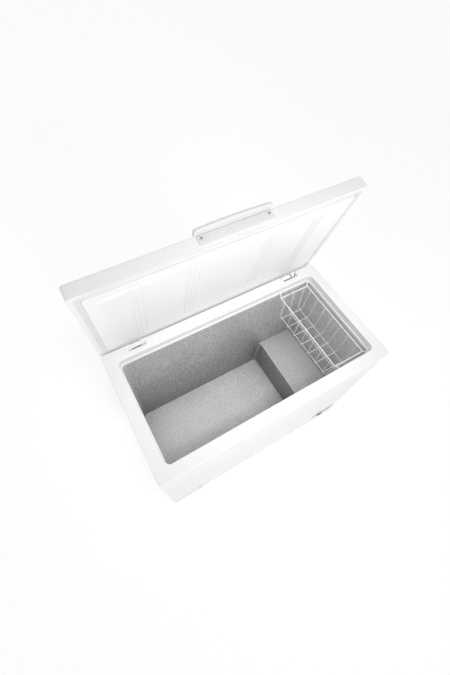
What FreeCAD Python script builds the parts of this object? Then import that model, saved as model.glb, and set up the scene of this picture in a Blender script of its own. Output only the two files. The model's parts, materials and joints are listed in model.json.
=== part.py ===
import FreeCAD, Part
import math
import os
import Sketcher

# Chest freezer, about 300 litres, standing with its lid open.
# Millimetres. +X is the freezer's right (compressor end), the front faces -Y, +Z is up.
# The origin is on the floor, under the middle of the cabinet.

Vector = FreeCAD.Vector
doc = FreeCAD.newDocument("ChestFreezer")
sheet = doc.addObject("Spreadsheet::Sheet", "Dims")

DRIVING = {
    # cabinet
    "cabinet_width": 1115, "cabinet_depth": 576, "rim_top": 804, "foot_height": 12,
    "body_inset": 5, "sheet_gauge": 1, "body_corner": 10, "rear_panel_top": 798,
    # the well and its plastic top frame
    "well_width": 1002, "front_wall": 57.4, "rear_wall": 58, "well_corner": 20,
    "floor_level": 67, "step_edge": 292, "step_level": 284, "foam_wall": 50,
    "frame_gauge": 2.5, "frame_skirt": 28, "frame_corner": 10, "frame_edge": 4,
    "ledge_width": 5, "ledge_drop": 35, "inner_wall": 45, "liner_gauge": 1,
    # lid, hinge axis and how far it opens
    "lid_thickness": 50, "lid_gap": 3, "lid_corner": 12, "lid_edge": 5, "lid_hem": 14,
    "pivot_inset": 12.5, "pivot_drop": 30.3, "lid_opening": 77.5,
    "gasket_inset": 20, "gasket_width": 14, "gasket_rear_inset": 24, "gasket_proud": 2.7,
    "channel_gap": 3, "channel_depth": 8, "field_inset": 70, "field_height": 4.5,
    "flute_width": 8, "flute_pitch": 20, "flute_inner": 154,
    "flute_outer": 363,
    # hinges
    "hinge_offset": 405, "pocket_width": 84, "pocket_depth": 28, "pocket_floor": 748,
    "pin_radius": 4, "pin_clearance": 0.05, "leaf_gauge": 2.5, "ear_offset": 34,
    "lug_offset": 28, "knuckle_radius": 8,
    # handle
    "handle_middle": 6.5, "plate_length": 282, "plate_tall": 36, "plate_gauge": 3.5,
    "grip_length": 295, "grip_end_reach": 25, "grip_reach": 33, "grip_thickness": 14,
    "grip_rise": 10, "handle_screw": 127,
    # basket
    "basket_left": 322, "basket_right": 485, "basket_front": 75, "basket_rear": 500,
    "basket_ring_drop": 50, "basket_depth": 155, "ring_wire": 5, "grid_wire": 3,
    "cross_pitch": 59, "long_pitch": 59, "basket_taper": 9, "basket_end_taper": 18,
    # control panel and drain
    "panel_centre": 437, "panel_level": 137, "panel_width": 136, "panel_tall": 82,
    "drain_offset": 395, "drain_level": 42, "drain_bore": 7, "drain_tube_radius": 9,
}

for row, (alias, number) in enumerate(DRIVING.items(), start=1):
    sheet.set("A%d" % row, alias.replace("_", " "))
    sheet.set("B%d" % row, str(number))
    sheet.setAlias("B%d" % row, alias)
doc.recompute()


class Size:
    # A length that keeps the formula it came from, so that the same arithmetic gives both
    # a number for the first drawing and an expression that stays bound to the sheet.
    def __init__(self, number, text):
        self.number = float(number)
        self.text = text

    def __add__(self, other):
        other = plain(other)
        return Size(self.number + other.number, "(%s + %s)" % (self.text, other.text))

    def __sub__(self, other):
        other = plain(other)
        return Size(self.number - other.number, "(%s - %s)" % (self.text, other.text))

    def __mul__(self, factor):
        return Size(self.number * factor, "%s * %s" % (self.text, factor))

    def __truediv__(self, factor):
        return Size(self.number / factor, "%s / %s" % (self.text, factor))

    def __neg__(self):
        return Size(-self.number, "(-1 * %s)" % self.text)


def plain(length):
    if isinstance(length, Size):
        return length
    return Size(length, repr(float(length)))


def dim(alias):
    return Size(sheet.get(alias), "Dims." + alias)


# Planes of the cabinet that many pieces share.
right = dim("cabinet_width") / 2
left = -right
back = dim("cabinet_depth") / 2
front = -back
rim = dim("rim_top")
gauge = dim("sheet_gauge")
bodyRight = right - dim("body_inset")
bodyLeft = -bodyRight
bodyFront = front + dim("body_inset")
bodyBack = back - dim("body_inset")
base = dim("foot_height")
wellRight = dim("well_width") / 2
wellLeft = -wellRight
wellFront = front + dim("front_wall")
wellBack = back - dim("rear_wall")
frameGauge = dim("frame_gauge")
ledge = dim("ledge_width")
ledgeTop = rim - dim("ledge_drop")
frameBottom = rim - dim("inner_wall")
stepEdge = dim("step_edge")
stepLevel = dim("step_level")
floorLevel = dim("floor_level")
linerGauge = dim("liner_gauge")
bayLeft = stepEdge + linerGauge + dim("foam_wall")
bayTop = stepLevel - linerGauge - dim("foam_wall")
plateGauge = 1.5
baseTop = base + plateGauge

lidBottom = rim + dim("lid_gap")
lidTop = lidBottom + dim("lid_thickness")
pivotY = back - dim("pivot_inset")
pivotZ = rim - dim("pivot_drop")

# The vent in the right side of the cabinet: half its width, its bottom and its top.
VENT_HALF, VENT_LOW, VENT_HIGH = 144, 56, 204
# Where the compressor and the filter drier stand on the base, in X and Y.
COMPRESSOR = (450, 95)
DRIER = (372, -180)

kept = []


def keep(obj, label, onLid=False):
    obj.Label = label
    if onLid:
        openLid = FreeCAD.Placement(Vector(0, 0, 0),
                                    FreeCAD.Rotation(Vector(1, 0, 0), -dim("lid_opening").number),
                                    Vector(0, pivotY.number, pivotZ.number))
        obj.Placement = openLid.multiply(obj.Placement)
    kept.append(obj)
    return obj


# ---- solids from Part primitives, bound to the sheet


def bindBase(obj, x, y, z):
    for axis, length in (("x", plain(x)), ("y", plain(y)), ("z", plain(z))):
        obj.setExpression(".Placement.Base." + axis, length.text)


def block(x0, x1, y0, y1, z0, z1, name="Block"):
    box = doc.addObject("Part::Box", name)
    box.setExpression("Length", (plain(x1) - x0).text)
    box.setExpression("Width", (plain(y1) - y0).text)
    box.setExpression("Height", (plain(z1) - z0).text)
    bindBase(box, x0, y0, z0)
    return box


TURNS = {"x": FreeCAD.Rotation(Vector(0, 1, 0), 90), "y": FreeCAD.Rotation(Vector(1, 0, 0), -90),
         "z": FreeCAD.Rotation()}


def rod(axis, x, y, z, radius, length, name="Rod"):
    # A cylinder that starts at (x, y, z) and runs along +axis.
    cylinder = doc.addObject("Part::Cylinder", name)
    cylinder.Placement = FreeCAD.Placement(Vector(0, 0, 0), TURNS[axis])
    cylinder.setExpression("Radius", plain(radius).text)
    cylinder.setExpression("Height", plain(length).text)
    bindBase(cylinder, x, y, z)
    return cylinder


def cone(axis, x, y, z, radius1, radius2, length, name="Cone"):
    body = doc.addObject("Part::Cone", name)
    body.Placement = FreeCAD.Placement(Vector(0, 0, 0), TURNS[axis])
    body.setExpression("Radius1", plain(radius1).text)
    body.setExpression("Radius2", plain(radius2).text)
    body.setExpression("Height", plain(length).text)
    bindBase(body, x, y, z)
    return body


def fuse(parts, name="Fuse"):
    if len(parts) == 1:
        return parts[0]
    union = doc.addObject("Part::MultiFuse", name)
    union.Shapes = parts
    union.Refine = True
    return union


def cut(base, tools, name="Cut"):
    difference = doc.addObject("Part::Cut", name)
    difference.Base = base
    difference.Tool = fuse(tools)
    difference.Refine = True
    return difference


def compound(parts, name="Group"):
    group = doc.addObject("Part::Compound", name)
    group.Links = parts
    return group


def fillet(base, radius, wanted, name="Fillet"):
    # Rounds the straight or curved edges of a Part object for which wanted(edge) is true.
    doc.recompute()
    rounded = doc.addObject("Part::Fillet", name)
    rounded.Base = base
    rounded.Edges = [(number, radius, radius) for number, edge in enumerate(base.Shape.Edges, start=1)
                     if wanted(edge)]
    return rounded


def near(a, b):
    return abs(a - plain(b).number) < 0.01


def upright(edge):
    box = edge.BoundBox
    return box.XLength < 0.01 and box.YLength < 0.01


def level(edge, height):
    box = edge.BoundBox
    return box.ZLength < 0.01 and near(box.ZMin, height)


def roundedBlock(x0, x1, y0, y1, z0, z1, radius, name="Rounded"):
    return fillet(block(x0, x1, y0, y1, z0, z1), radius, upright, name)


# ---- PartDesign bodies and their sketches


def newBody(name):
    return doc.addObject("PartDesign::Body", name)


def plane(body, role):
    return [item for item in body.Origin.OriginFeatures if item.Role == role][0]


def sketchOn(body, role, offset=0):
    # The sketch lies on an origin plane of its body, moved along that plane's normal.
    sketch = body.newObject("Sketcher::SketchObject", "Sketch")
    sketch.AttachmentSupport = (plane(body, role), [""])
    sketch.MapMode = "FlatFace"
    sketch.setExpression(".AttachmentOffset.Base.z", plain(offset).text)
    return sketch


def pin(sketch, kind, geometry, point, coordinate):
    # Ties one coordinate of a point to the sheet. A sketch distance is never negative, so
    # a point on the far side of the origin is measured the other way round.
    coordinate = plain(coordinate)
    if abs(coordinate.number) < 1e-9:
        axis = -2 if kind == "DistanceX" else -1
        sketch.addConstraint(Sketcher.Constraint("PointOnObject", geometry, point, axis))
        return
    if coordinate.number > 0:
        index = sketch.addConstraint(
            Sketcher.Constraint(kind, -1, 1, geometry, point, coordinate.number))
        sketch.setExpression("Constraints[%d]" % index, coordinate.text)
    else:
        index = sketch.addConstraint(
            Sketcher.Constraint(kind, geometry, point, -1, 1, -coordinate.number))
        sketch.setExpression("Constraints[%d]" % index, (-coordinate).text)


def outline(sketch, points):
    # A closed outline of straight lines, every corner pinned.
    points = [(plain(x), plain(y)) for x, y in points]
    first = sketch.GeometryCount
    count = len(points)
    for index, (x, y) in enumerate(points):
        nextX, nextY = points[(index + 1) % count]
        sketch.addGeometry(Part.LineSegment(Vector(x.number, y.number, 0),
                                            Vector(nextX.number, nextY.number, 0)))
    for index, (x, y) in enumerate(points):
        previous = first + (index - 1) % count
        sketch.addConstraint(Sketcher.Constraint("Coincident", previous, 2, first + index, 1))
        pin(sketch, "DistanceX", first + index, 1, x)
        pin(sketch, "DistanceY", first + index, 1, y)


def rectangle(sketch, x0, x1, y0, y1):
    outline(sketch, [(x0, y0), (x1, y0), (x1, y1), (x0, y1)])


def roundedRectangle(sketch, x0, x1, y0, y1, radius):
    x0, x1, y0, y1, radius = [plain(length) for length in (x0, x1, y0, y1, radius)]
    a, b, c, d, r = x0.number, x1.number, y0.number, y1.number, radius.number
    first = sketch.GeometryCount
    lines = [((a + r, c), (b - r, c)), ((b, c + r), (b, d - r)),
             ((b - r, d), (a + r, d)), ((a, d - r), (a, c + r))]
    centres = [(b - r, c + r), (b - r, d - r), (a + r, d - r), (a + r, c + r)]
    for index in range(4):
        start, end = lines[index]
        sketch.addGeometry(Part.LineSegment(Vector(*start, 0), Vector(*end, 0)))
        circle = Part.Circle(Vector(*centres[index], 0), Vector(0, 0, 1), r)
        angle = math.radians(90 * index - 90)
        sketch.addGeometry(Part.ArcOfCircle(circle, angle, angle + math.pi / 2))
    for index in range(4):
        line = first + 2 * index
        arc = line + 1
        following = first + (2 * index + 2) % 8
        sketch.addConstraint(Sketcher.Constraint("Tangent", line, 2, arc, 1))
        sketch.addConstraint(Sketcher.Constraint("Tangent", arc, 2, following, 1))
        flat = "Horizontal" if index % 2 == 0 else "Vertical"
        sketch.addConstraint(Sketcher.Constraint(flat, line))
        if index:
            sketch.addConstraint(Sketcher.Constraint("Equal", first + 1, arc))
    number = sketch.addConstraint(Sketcher.Constraint("Radius", first + 1, r))
    sketch.setExpression("Constraints[%d]" % number, radius.text)
    pin(sketch, "DistanceY", first, 1, y0)
    pin(sketch, "DistanceX", first + 2, 1, x1)
    pin(sketch, "DistanceY", first + 4, 1, y1)
    pin(sketch, "DistanceX", first + 6, 1, x0)


def circle(sketch, x, y, radius):
    x, y, radius = plain(x), plain(y), plain(radius)
    index = sketch.addGeometry(Part.Circle(Vector(x.number, y.number, 0), Vector(0, 0, 1),
                                           radius.number))
    number = sketch.addConstraint(Sketcher.Constraint("Radius", index, radius.number))
    sketch.setExpression("Constraints[%d]" % number, radius.text)
    pin(sketch, "DistanceX", index, 3, x)
    pin(sketch, "DistanceY", index, 3, y)


def pad(body, sketch, length, reverse=False):
    feature = body.newObject("PartDesign::Pad", "Pad")
    feature.Profile = sketch
    feature.Reversed = reverse
    feature.setExpression("Length", plain(length).text)
    doc.recompute()
    return feature


def pocket(body, sketch, length, reverse=False):
    # A pocket that points away from the solid removes nothing, so the volume is compared.
    doc.recompute()
    before = body.Shape.Volume
    feature = body.newObject("PartDesign::Pocket", "Pocket")
    feature.Profile = sketch
    feature.Reversed = reverse
    feature.setExpression("Length", plain(length).text)
    doc.recompute()
    if body.Shape.Volume >= before - 0.1:
        raise RuntimeError("a pocket of %s cut nothing" % body.Name)
    return feature


def roundEdges(body, radius, wanted):
    doc.recompute()
    tip = body.Tip
    names = ["Edge%d" % number for number, edge in enumerate(tip.Shape.Edges, start=1)
             if wanted(edge)]
    feature = body.newObject("PartDesign::Fillet", "Fillet")
    feature.Base = (tip, names)
    feature.Radius = radius
    doc.recompute()
    return feature


# ---- tubes and wires along straight runs joined by tangent arcs


def runsAndArcs(points, bend, closed=False):
    edges = []
    count = len(points)
    corners = range(count) if closed else range(1, count - 1)
    trims = {}
    for index in corners:
        here = points[index]
        before = (points[index - 1] - here).normalize()
        after = (points[(index + 1) % count] - here).normalize()
        half = before.getAngle(after) / 2
        reach = bend / math.tan(half)
        middle = (before + after).normalize()
        centre = here + middle * (bend / math.sin(half))
        trims[index] = (here + before * reach, centre - middle * bend, here + after * reach)
    for index in range(count if closed else count - 1):
        following = (index + 1) % count
        start = trims[index][2] if index in trims else points[index]
        end = trims[following][0] if following in trims else points[following]
        if start.distanceToPoint(end) > 0.001:
            edges.append(Part.LineSegment(start, end).toShape())
        if following in trims:
            edges.append(Part.Arc(*trims[following]).toShape())
    return Part.Wire(edges)


def sweptRod(points, bend, radius, closed=False):
    points = [Vector(*point) for point in points]
    path = runsAndArcs(points, bend, closed)
    first = path.Edges[0]
    start = first.valueAt(first.FirstParameter)
    heading = first.tangentAt(first.FirstParameter)
    ring = Part.Wire([Part.Circle(start, heading, radius).toShape()])
    solid = path.makePipeShell([ring], True, False)
    if not isinstance(solid, Part.Solid):
        solid = Part.Solid(solid.Shells[0])
    if solid.Volume < 0:
        solid.reverse()
    expected = path.Length * math.pi * radius ** 2
    if abs(solid.Volume - expected) > 0.02 * expected:
        raise RuntimeError("a swept rod has the wrong volume")
    return solid


def feature(shape, name="Feature"):
    obj = doc.addObject("Part::Feature", name)
    obj.Shape = shape
    return obj


# ---- cabinet


def wellSpace(grow, top, name):
    # The stepped hollow of the freezer, drawn from the front and padded backwards.
    body = newBody(name)
    sketch = sketchOn(body, "XZ_Plane", -(wellBack + grow))
    low, high = floorLevel - grow + frameGauge, stepLevel - grow + frameGauge
    outline(sketch, [(wellLeft - grow, low), (stepEdge + (grow - frameGauge), low),
                     (stepEdge + (grow - frameGauge), high), (wellRight + grow, high),
                     (wellRight + grow, top), (wellLeft - grow, top)])
    pad(body, sketch, wellBack - wellFront + grow * 2)
    corner = dim("well_corner").number + (grow.number - frameGauge.number)
    roundEdges(body, corner, upright)
    return body


def makeLiner():
    hollow = wellSpace(frameGauge, ledgeTop, "WellSpace")
    shell = wellSpace(frameGauge + linerGauge, ledgeTop - frameGauge, "LinerShell")
    drain = rod("z", -dim("drain_offset"), drainY(), floorLevel - 5, 12.5, 10)
    keep(cut(shell, [hollow, drain]), "inner_liner")


def drainY():
    return wellFront + 52


def makeTopFrame():
    body = newBody("TopFrame")
    skirt = sketchOn(body, "XY_Plane", rim - dim("frame_skirt"))
    roundedRectangle(skirt, left, right, front, back, dim("frame_corner"))
    pad(body, skirt, dim("frame_skirt"))
    roundEdges(body, dim("frame_edge").number, lambda edge: level(edge, rim))
    wall = sketchOn(body, "XY_Plane", frameBottom)
    outer = ledge + frameGauge
    corner = dim("well_corner")
    roundedRectangle(wall, wellLeft - outer, wellRight + outer, wellFront - outer,
                     wellBack + outer, corner + outer)
    pad(body, wall, rim - frameBottom - 8)
    mouth = sketchOn(body, "XY_Plane", rim)
    roundedRectangle(mouth, wellLeft - ledge, wellRight + ledge, wellFront - ledge,
                     wellBack + ledge, corner + ledge)
    pocket(body, mouth, dim("ledge_drop"))
    throat = sketchOn(body, "XY_Plane", ledgeTop)
    roundedRectangle(throat, wellLeft, wellRight, wellFront, wellBack, corner)
    pocket(body, throat, ledgeTop - frameBottom + 1)
    roundEdges(body, 2.5, lambda edge: level(edge, rim) and edge.BoundBox.XMax < wellRight.number + 20
               and edge.BoundBox.XMin > wellLeft.number - 20
               and edge.BoundBox.YMin > wellFront.number - 20
               and edge.BoundBox.YMax < wellBack.number + 20)
    # the underside: a channel over the cabinet walls, and the liner's seat under the ledge
    under = sketchOn(body, "XY_Plane", rim - dim("frame_skirt"))
    thick = dim("frame_gauge")
    roundedRectangle(under, left + thick, right - thick, front + thick, back - thick,
                     dim("frame_corner") - thick)
    roundedRectangle(under, wellLeft - outer, wellRight + outer, wellFront - outer,
                     wellBack + outer, corner + outer)
    pocket(body, under, dim("frame_skirt") - thick, reverse=True)
    seat = sketchOn(body, "XY_Plane", frameBottom)
    roundedRectangle(seat, wellLeft - outer, wellRight + outer, wellFront - outer,
                     wellBack + outer, corner + outer)
    roundedRectangle(seat, wellLeft - thick, wellRight + thick, wellFront - thick,
                     wellBack + thick, corner + thick)
    pocket(body, seat, ledgeTop - frameBottom - thick, reverse=True)
    notches = [hingeSpace(side, 0, rim + 1) for side in (-1, 1)]
    keep(cut(body, notches), "top_frame")


def hingeSpace(side, shrink, top):
    # The hollow at the back of the rim that each hinge works in, open upwards and backwards.
    middle = dim("hinge_offset") * side
    half = dim("pocket_width") / 2 - shrink
    return block(middle - half, middle + half, back - dim("pocket_depth") + shrink, back + 1,
                 dim("pocket_floor") + shrink, top, "HingeSpace")


def makeOuterCabinet():
    body = newBody("OuterCabinet")
    outside = sketchOn(body, "XY_Plane", base)
    roundedRectangle(outside, bodyLeft, bodyRight, bodyFront, bodyBack + 20, dim("body_corner"))
    roundedRectangle(outside, bodyLeft + gauge, bodyRight - gauge, bodyFront + gauge,
                     bodyBack + 19, dim("body_corner") - gauge)
    pad(body, outside, dim("rear_panel_top") - base)
    behind = sketchOn(body, "XY_Plane", base)
    rectangle(behind, bodyLeft - 5, bodyRight + 5, bodyBack, bodyBack + 30)
    pocket(body, behind, dim("rear_panel_top"), reverse=True)
    panel = sketchOn(body, "XZ_Plane", -(bodyFront + 5))
    centre, levelZ = dim("panel_centre"), dim("panel_level")
    halfWide, halfTall = dim("panel_width") / 2 - 6, dim("panel_tall") / 2 - 6
    roundedRectangle(panel, centre - halfWide, centre + halfWide, levelZ - halfTall,
                     levelZ + halfTall, 6)
    circle(panel, -dim("drain_offset"), dim("drain_level"), dim("drain_tube_radius"))
    pocket(body, panel, 10, reverse=True)
    vent = sketchOn(body, "YZ_Plane", bodyRight - 5)
    roundedRectangle(vent, -VENT_HALF, VENT_HALF, VENT_LOW, VENT_HIGH, 8)
    pocket(body, vent, 10, reverse=True)
    keep(body, "outer_cabinet")


def makeRearPanel():
    body = newBody("RearPanel")
    face = sketchOn(body, "XZ_Plane", -bodyBack)
    rectangle(face, bodyLeft + gauge, bodyRight - gauge, base, dim("rear_panel_top"))
    pad(body, face, gauge)
    slots = sketchOn(body, "XZ_Plane", -(bodyBack + 2))
    roundedRectangle(slots, 370, 440, 70, 76, 2.9)
    first = pocket(body, slots, 6, reverse=True)
    rows = body.newObject("PartDesign::LinearPattern", "VentRows")
    rows.Originals = [first]
    rows.Direction = (slots, ["V_Axis"])
    rows.Length = 126
    rows.Occurrences = 10
    body.Tip = rows
    doc.recompute()
    inlet = sketchOn(body, "XZ_Plane", -(bodyBack + 2))
    circle(inlet, 500, 60, 8)
    pocket(body, inlet, 6, reverse=True)
    keep(cut(body, [hingeSpace(side, 0, rim) for side in (-1, 1)]), "rear_panel")


def makeBasePan():
    plate = block(bodyLeft + gauge, bodyRight - gauge, bodyFront + gauge, bodyBack - gauge,
                  base, baseTop, "BasePlate")
    corners = block(-600, 600, -300, 300, 0, 40)
    trim = cut(corners, [roundedBlock(bodyLeft + gauge, bodyRight - gauge, bodyFront + gauge,
                                      bodyBack + 20, -1, 41, dim("body_corner").number - 1)])
    slots = [block(bayLeft + 25 + 28 * index, bayLeft + 33 + 28 * index, -200, -40, 0, 20)
             for index in range(6)]
    screwHoles = [rod("z", x, y, 0, 2.6, 20) for x, y in footPlaces()]
    keep(cut(plate, [trim] + slots + screwHoles), "base_pan")


def footPlaces():
    return [(x, y) for x in (-500, 500) for y in (-235, 235)]


def makeFeet():
    feet = []
    for x, y in footPlaces():
        sole = rod("z", x, y, 0, 20, 3, "Sole")
        taper = cone("z", x, y, 3, 20, 16, base - 3, "FootTaper")
        feet.append(cut(fuse([sole, taper]), [rod("z", x, y, -1, 7, 8),
                                              rod("z", x, y, 5, 2.6, base)]))
    keep(compound(feet), "feet")
    screws = []
    for x, y in footPlaces():
        head = rod("z", x, y, 4, 5.5, 3, "ScrewHead")
        screws.append(fuse([head, rod("z", x, y, 7, 2.5, baseTop - 7)]))
    keep(compound(screws), "foot_screws")


def drainRoute():
    x = -dim("drain_offset").number
    y = drainY().number
    return [(x, y, floorLevel.number - 1), (x, y, dim("drain_level").number),
            (x, bodyFront.number, dim("drain_level").number)]


def coilAroundWell():
    # One tube wound down round the liner: full turns above the step, short ones beside it.
    off = 4.0 + 2
    x0 = wellLeft.number - frameGauge.number - 1 - off
    x1 = wellRight.number + frameGauge.number + 1 + off
    y0 = wellFront.number - frameGauge.number - 1 - off
    y1 = wellBack.number + frameGauge.number + 1 + off
    stepX = stepEdge.number + 1 + off
    points = [(x1, y1 - 60, 700)]
    height = 700.0
    turnDrop = 78.0
    for turn in range(5):
        for x, y in ((x1, y1), (x0, y1), (x0, y0), (x1, y0)):
            points.append((x, y, height))
            height -= turnDrop / 4
    points.append((x1, y1, height))
    points.append((stepX, y1, height - 4))
    points.append((stepX - 30, y1, 250))
    height = 250.0
    for x, y in ((x0, y1), (x0, y0), (stepX, y0), (stepX, y1), (x0, y1), (x0, y0), (stepX, y0)):
        points.append((x, y, height))
        height -= 12
    points.append((stepX, y0 + 120, height))
    points.append((bayLeft.number + 20, y0 + 120, height))
    return points


def condenserRoute():
    # A serpentine held against the inside of the front and left panels. It starts and ends
    # in the compressor bay: the top row crosses over the bay and comes down into it.
    x0 = bodyLeft.number + 6
    x1 = bayLeft.number - 22
    y0 = bodyFront.number + 6
    y1 = 200.0
    rows = [110, 200, 290, 380]
    points = [(bayLeft.number + 5, y0, rows[0]), (x0, y0, rows[0]), (x0, y1, rows[0]),
              (x0, y1, rows[1]), (x0, y0, rows[1]), (x1, y0, rows[1]),
              (x1, y0, rows[2]), (x0, y0, rows[2]), (x0, y1, rows[2]),
              (x0, y1, rows[3]), (x0, y0, rows[3]), (bayLeft.number + 57, y0, rows[3]),
              (bayLeft.number + 57, y0, 200)]
    return points


def capillaryRoute():
    # The thin tube from the drier up through the foam to the top of the evaporator coil.
    first = coilAroundWell()[0]
    x, y = 530, -180
    return [(DRIER[0], DRIER[1], 56), (DRIER[0], DRIER[1], 34), (x, y, 34), (x, y, first[2]),
            (first[0], y, first[2]), first]


def makeCoils():
    capillary = feature(sweptRod(capillaryRoute(), 8, 1.2), "CapillaryTube")
    keep(capillary, "capillary_tube")
    evaporator = feature(sweptRod(coilAroundWell(), 14, 4), "EvaporatorCoil")
    keep(evaporator, "evaporator_coil")
    condenser = feature(sweptRod(condenserRoute(), 18, 2.4), "CondenserCoil")
    keep(condenser, "condenser_coil")
    return [evaporator, condenser, capillary]


def makeFoam(coils):
    slab = roundedBlock(bodyLeft + gauge, bodyRight - gauge, bodyFront + gauge, bodyBack + 20,
                        baseTop, rim - frameGauge, dim("body_corner").number - 1, "FoamSlab")
    behind = block(-600, 600, bodyBack - gauge, bodyBack + 40, 0, 900)
    cavity = wellSpace(frameGauge + linerGauge, ledgeTop - frameGauge, "LinerCavity")
    outer = ledge + frameGauge
    collar = roundedBlock(wellLeft - outer, wellRight + outer, wellFront - outer,
                          wellBack + outer, frameBottom, rim, (dim("well_corner") + outer).number)
    bay = block(bayLeft, bodyRight + 5, bodyFront - 5, bodyBack + 5, base, bayTop, "CompressorBay")
    hinges = [hingeSpace(side, 0, rim + 5) for side in (-1, 1)]
    drain = feature(sweptRod(drainRoute(), 15, dim("drain_tube_radius").number), "DrainRoute")
    stopper = rod("z", -dim("drain_offset"), drainY(), floorLevel - 12, 17, 12)
    keep(cut(slab, [behind, cavity, collar, bay, drain, stopper] + coils + hinges),
         "foam_insulation")


def makeDrain():
    route = drainRoute()
    tube = feature(sweptRod(route, 15, dim("drain_tube_radius").number), "TubeOutside")
    bore = feature(sweptRod([route[0][:2] + (route[0][2] + 1,), route[1],
                             (route[2][0], route[2][1] - 1, route[2][2])], 15,
                            dim("drain_bore").number), "TubeBore")
    x, y = -dim("drain_offset"), drainY()
    funnel = cut(rod("z", x, y, floorLevel - 12, 17, 11), [rod("z", x, y, floorLevel - 13, 12.5, 13)])
    collar = cut(rod("z", x, y, floorLevel - 12, 12.5, 4), [rod("z", x, y, floorLevel - 13, 6.9, 6)])
    keep(cut(fuse([tube, funnel, collar]),
             [bore, rod("z", x, y, floorLevel - 8, 12.4, 8)]), "drain_tube")
    head = cone("z", x, y, floorLevel, 16, 14, 3, "PlugHead")
    stem = cone("z", x, y, floorLevel - 7, 11.4, 12.1, 7, "PlugStem")
    grip = block(x - 7, x + 7, y - 1.5, y + 1.5, floorLevel + 3, floorLevel + 9, "PlugTab")
    keep(fuse([head, stem, grip]), "drain_plug")
    z = dim("drain_level")
    lip = rod("y", x, bodyFront - 3, z, 12, 2.7, "CapLip")
    spigot = rod("y", x, bodyFront - 0.3, z, 6.7, 16, "CapSpigot")
    tab = block(x - 1.5, x + 1.5, bodyFront - 6, bodyFront - 3, z - 7, z + 7, "CapTab")
    keep(fuse([lip, spigot, tab]), "drain_cap")


# ---- compressor bay


def makeCompressor():
    x, y = COMPRESSOR
    body = newBody("Compressor")
    for z0, z1, halfX, halfY in ((44, 116, 76, 98), (112, 182, 72, 94)):
        sketch = sketchOn(body, "XY_Plane", z0)
        roundedRectangle(sketch, x - halfX, x + halfX, y - halfY, y + halfY, halfX - 1)
        pad(body, sketch, z1 - z0)
    roundEdges(body, 34, lambda edge: level(edge, 182))
    roundEdges(body, 22, lambda edge: level(edge, 44))
    seam = roundedBlock(x - 79, x + 79, y - 101, y + 101, 109, 112, 78)
    hollow = roundedBlock(x - 69, x + 69, y - 91, y + 91, 47, 179, 68)
    cavity = fillet(fillet(hollow, 31, lambda edge: level(edge, 179)), 20,
                    lambda edge: level(edge, 47))
    keep(cut(fuse([body, seam]), [cavity]), "compressor")
    motor = fuse([rod("z", x, y, 96, 50, 56, "Stator"), rod("z", x, y, 58, 30, 94, "Pump")])
    springs = [cut(rod("z", x + dx, y + dy, 47, 7, 49), [rod("z", x + dx, y + dy, 46, 4.5, 51)])
               for dx in (-28, 28) for dy in (-28, 28)]
    keep(motor, "compressor_motor")
    keep(compound(springs), "motor_springs")
    plate = roundedBlock(x - 90, x + 90, y - 120, y + 120, 39, 42, 14)
    waist = cut(rod("z", x, y, 42, 50, 14), [body])
    holes = [rod("z", x + dx, y + dy, 30, 8, 20) for dx in (-74, 74) for dy in (-104, 104)]
    keep(cut(fuse([plate, waist]), holes), "compressor_plate")
    mounts, bolts = [], []
    for dx in (-74, 74):
        for dy in (-104, 104):
            px, py = x + dx, y + dy
            lower = rod("z", px, py, baseTop, 13, 39 - baseTop.number)
            neck = rod("z", px, py, 38, 7.8, 5)
            upper = rod("z", px, py, 42, 12, 4)
            hole = rod("z", px, py, 0, 4.2, 60)
            mounts.append(cut(fuse([lower, neck, upper]), [hole]))
            bolts.append(fuse([rod("z", px, py, baseTop, 4, 36), rod("z", px, py, 46, 7, 5)]))
    keep(compound(mounts), "rubber_mounts")
    keep(compound(bolts), "mounting_bolts")
    cover = roundedBlock(x - 40, x + 30, y - 142, y - 99, 86, 152, 8)
    keep(cut(cover, [fuse([body]), seam]), "terminal_cover")


def makeRefrigerantParts():
    x, y = COMPRESSOR
    drierX, drierY = DRIER
    drier = fuse([rod("z", drierX, drierY, 70, 9, 70), cone("z", drierX, drierY, 140, 9, 3.2, 14),
                  cone("z", drierX, drierY, 56, 3.2, 9, 14)])
    keep(drier, "filter_drier")
    start, end = condenserRoute()[0], condenserRoute()[-1]
    overhead = 205
    discharge = sweptRod([(x - 50, y - 70, 176), (x - 50, y - 70, overhead),
                          (start[0] + 18, y - 70, overhead), (start[0] + 18, start[1] + 27, overhead),
                          (start[0] + 18, start[1] + 27, start[2]), (start[0] + 18, start[1], start[2]),
                          start], 8, 3)
    keep(feature(discharge, "DischargePipe"), "discharge_pipe")
    turn = end[2] - 14
    liquid = sweptRod([end, (end[0], end[1], turn), (end[0], drierY, turn),
                       (drierX, drierY, turn), (drierX, drierY, 154)], 8, 2.4)
    keep(feature(liquid, "LiquidPipe"), "liquid_pipe")
    last = coilAroundWell()[-1]
    suction = sweptRod([last, (last[0] + 12, last[1], last[2]), (last[0] + 12, 40, last[2]),
                        (x - 92, 40, 130), (x - 92, y, 130), (x - 72.2, y, 130)], 8, 4)
    keep(feature(suction, "SuctionPipe"), "suction_pipe")


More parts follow.
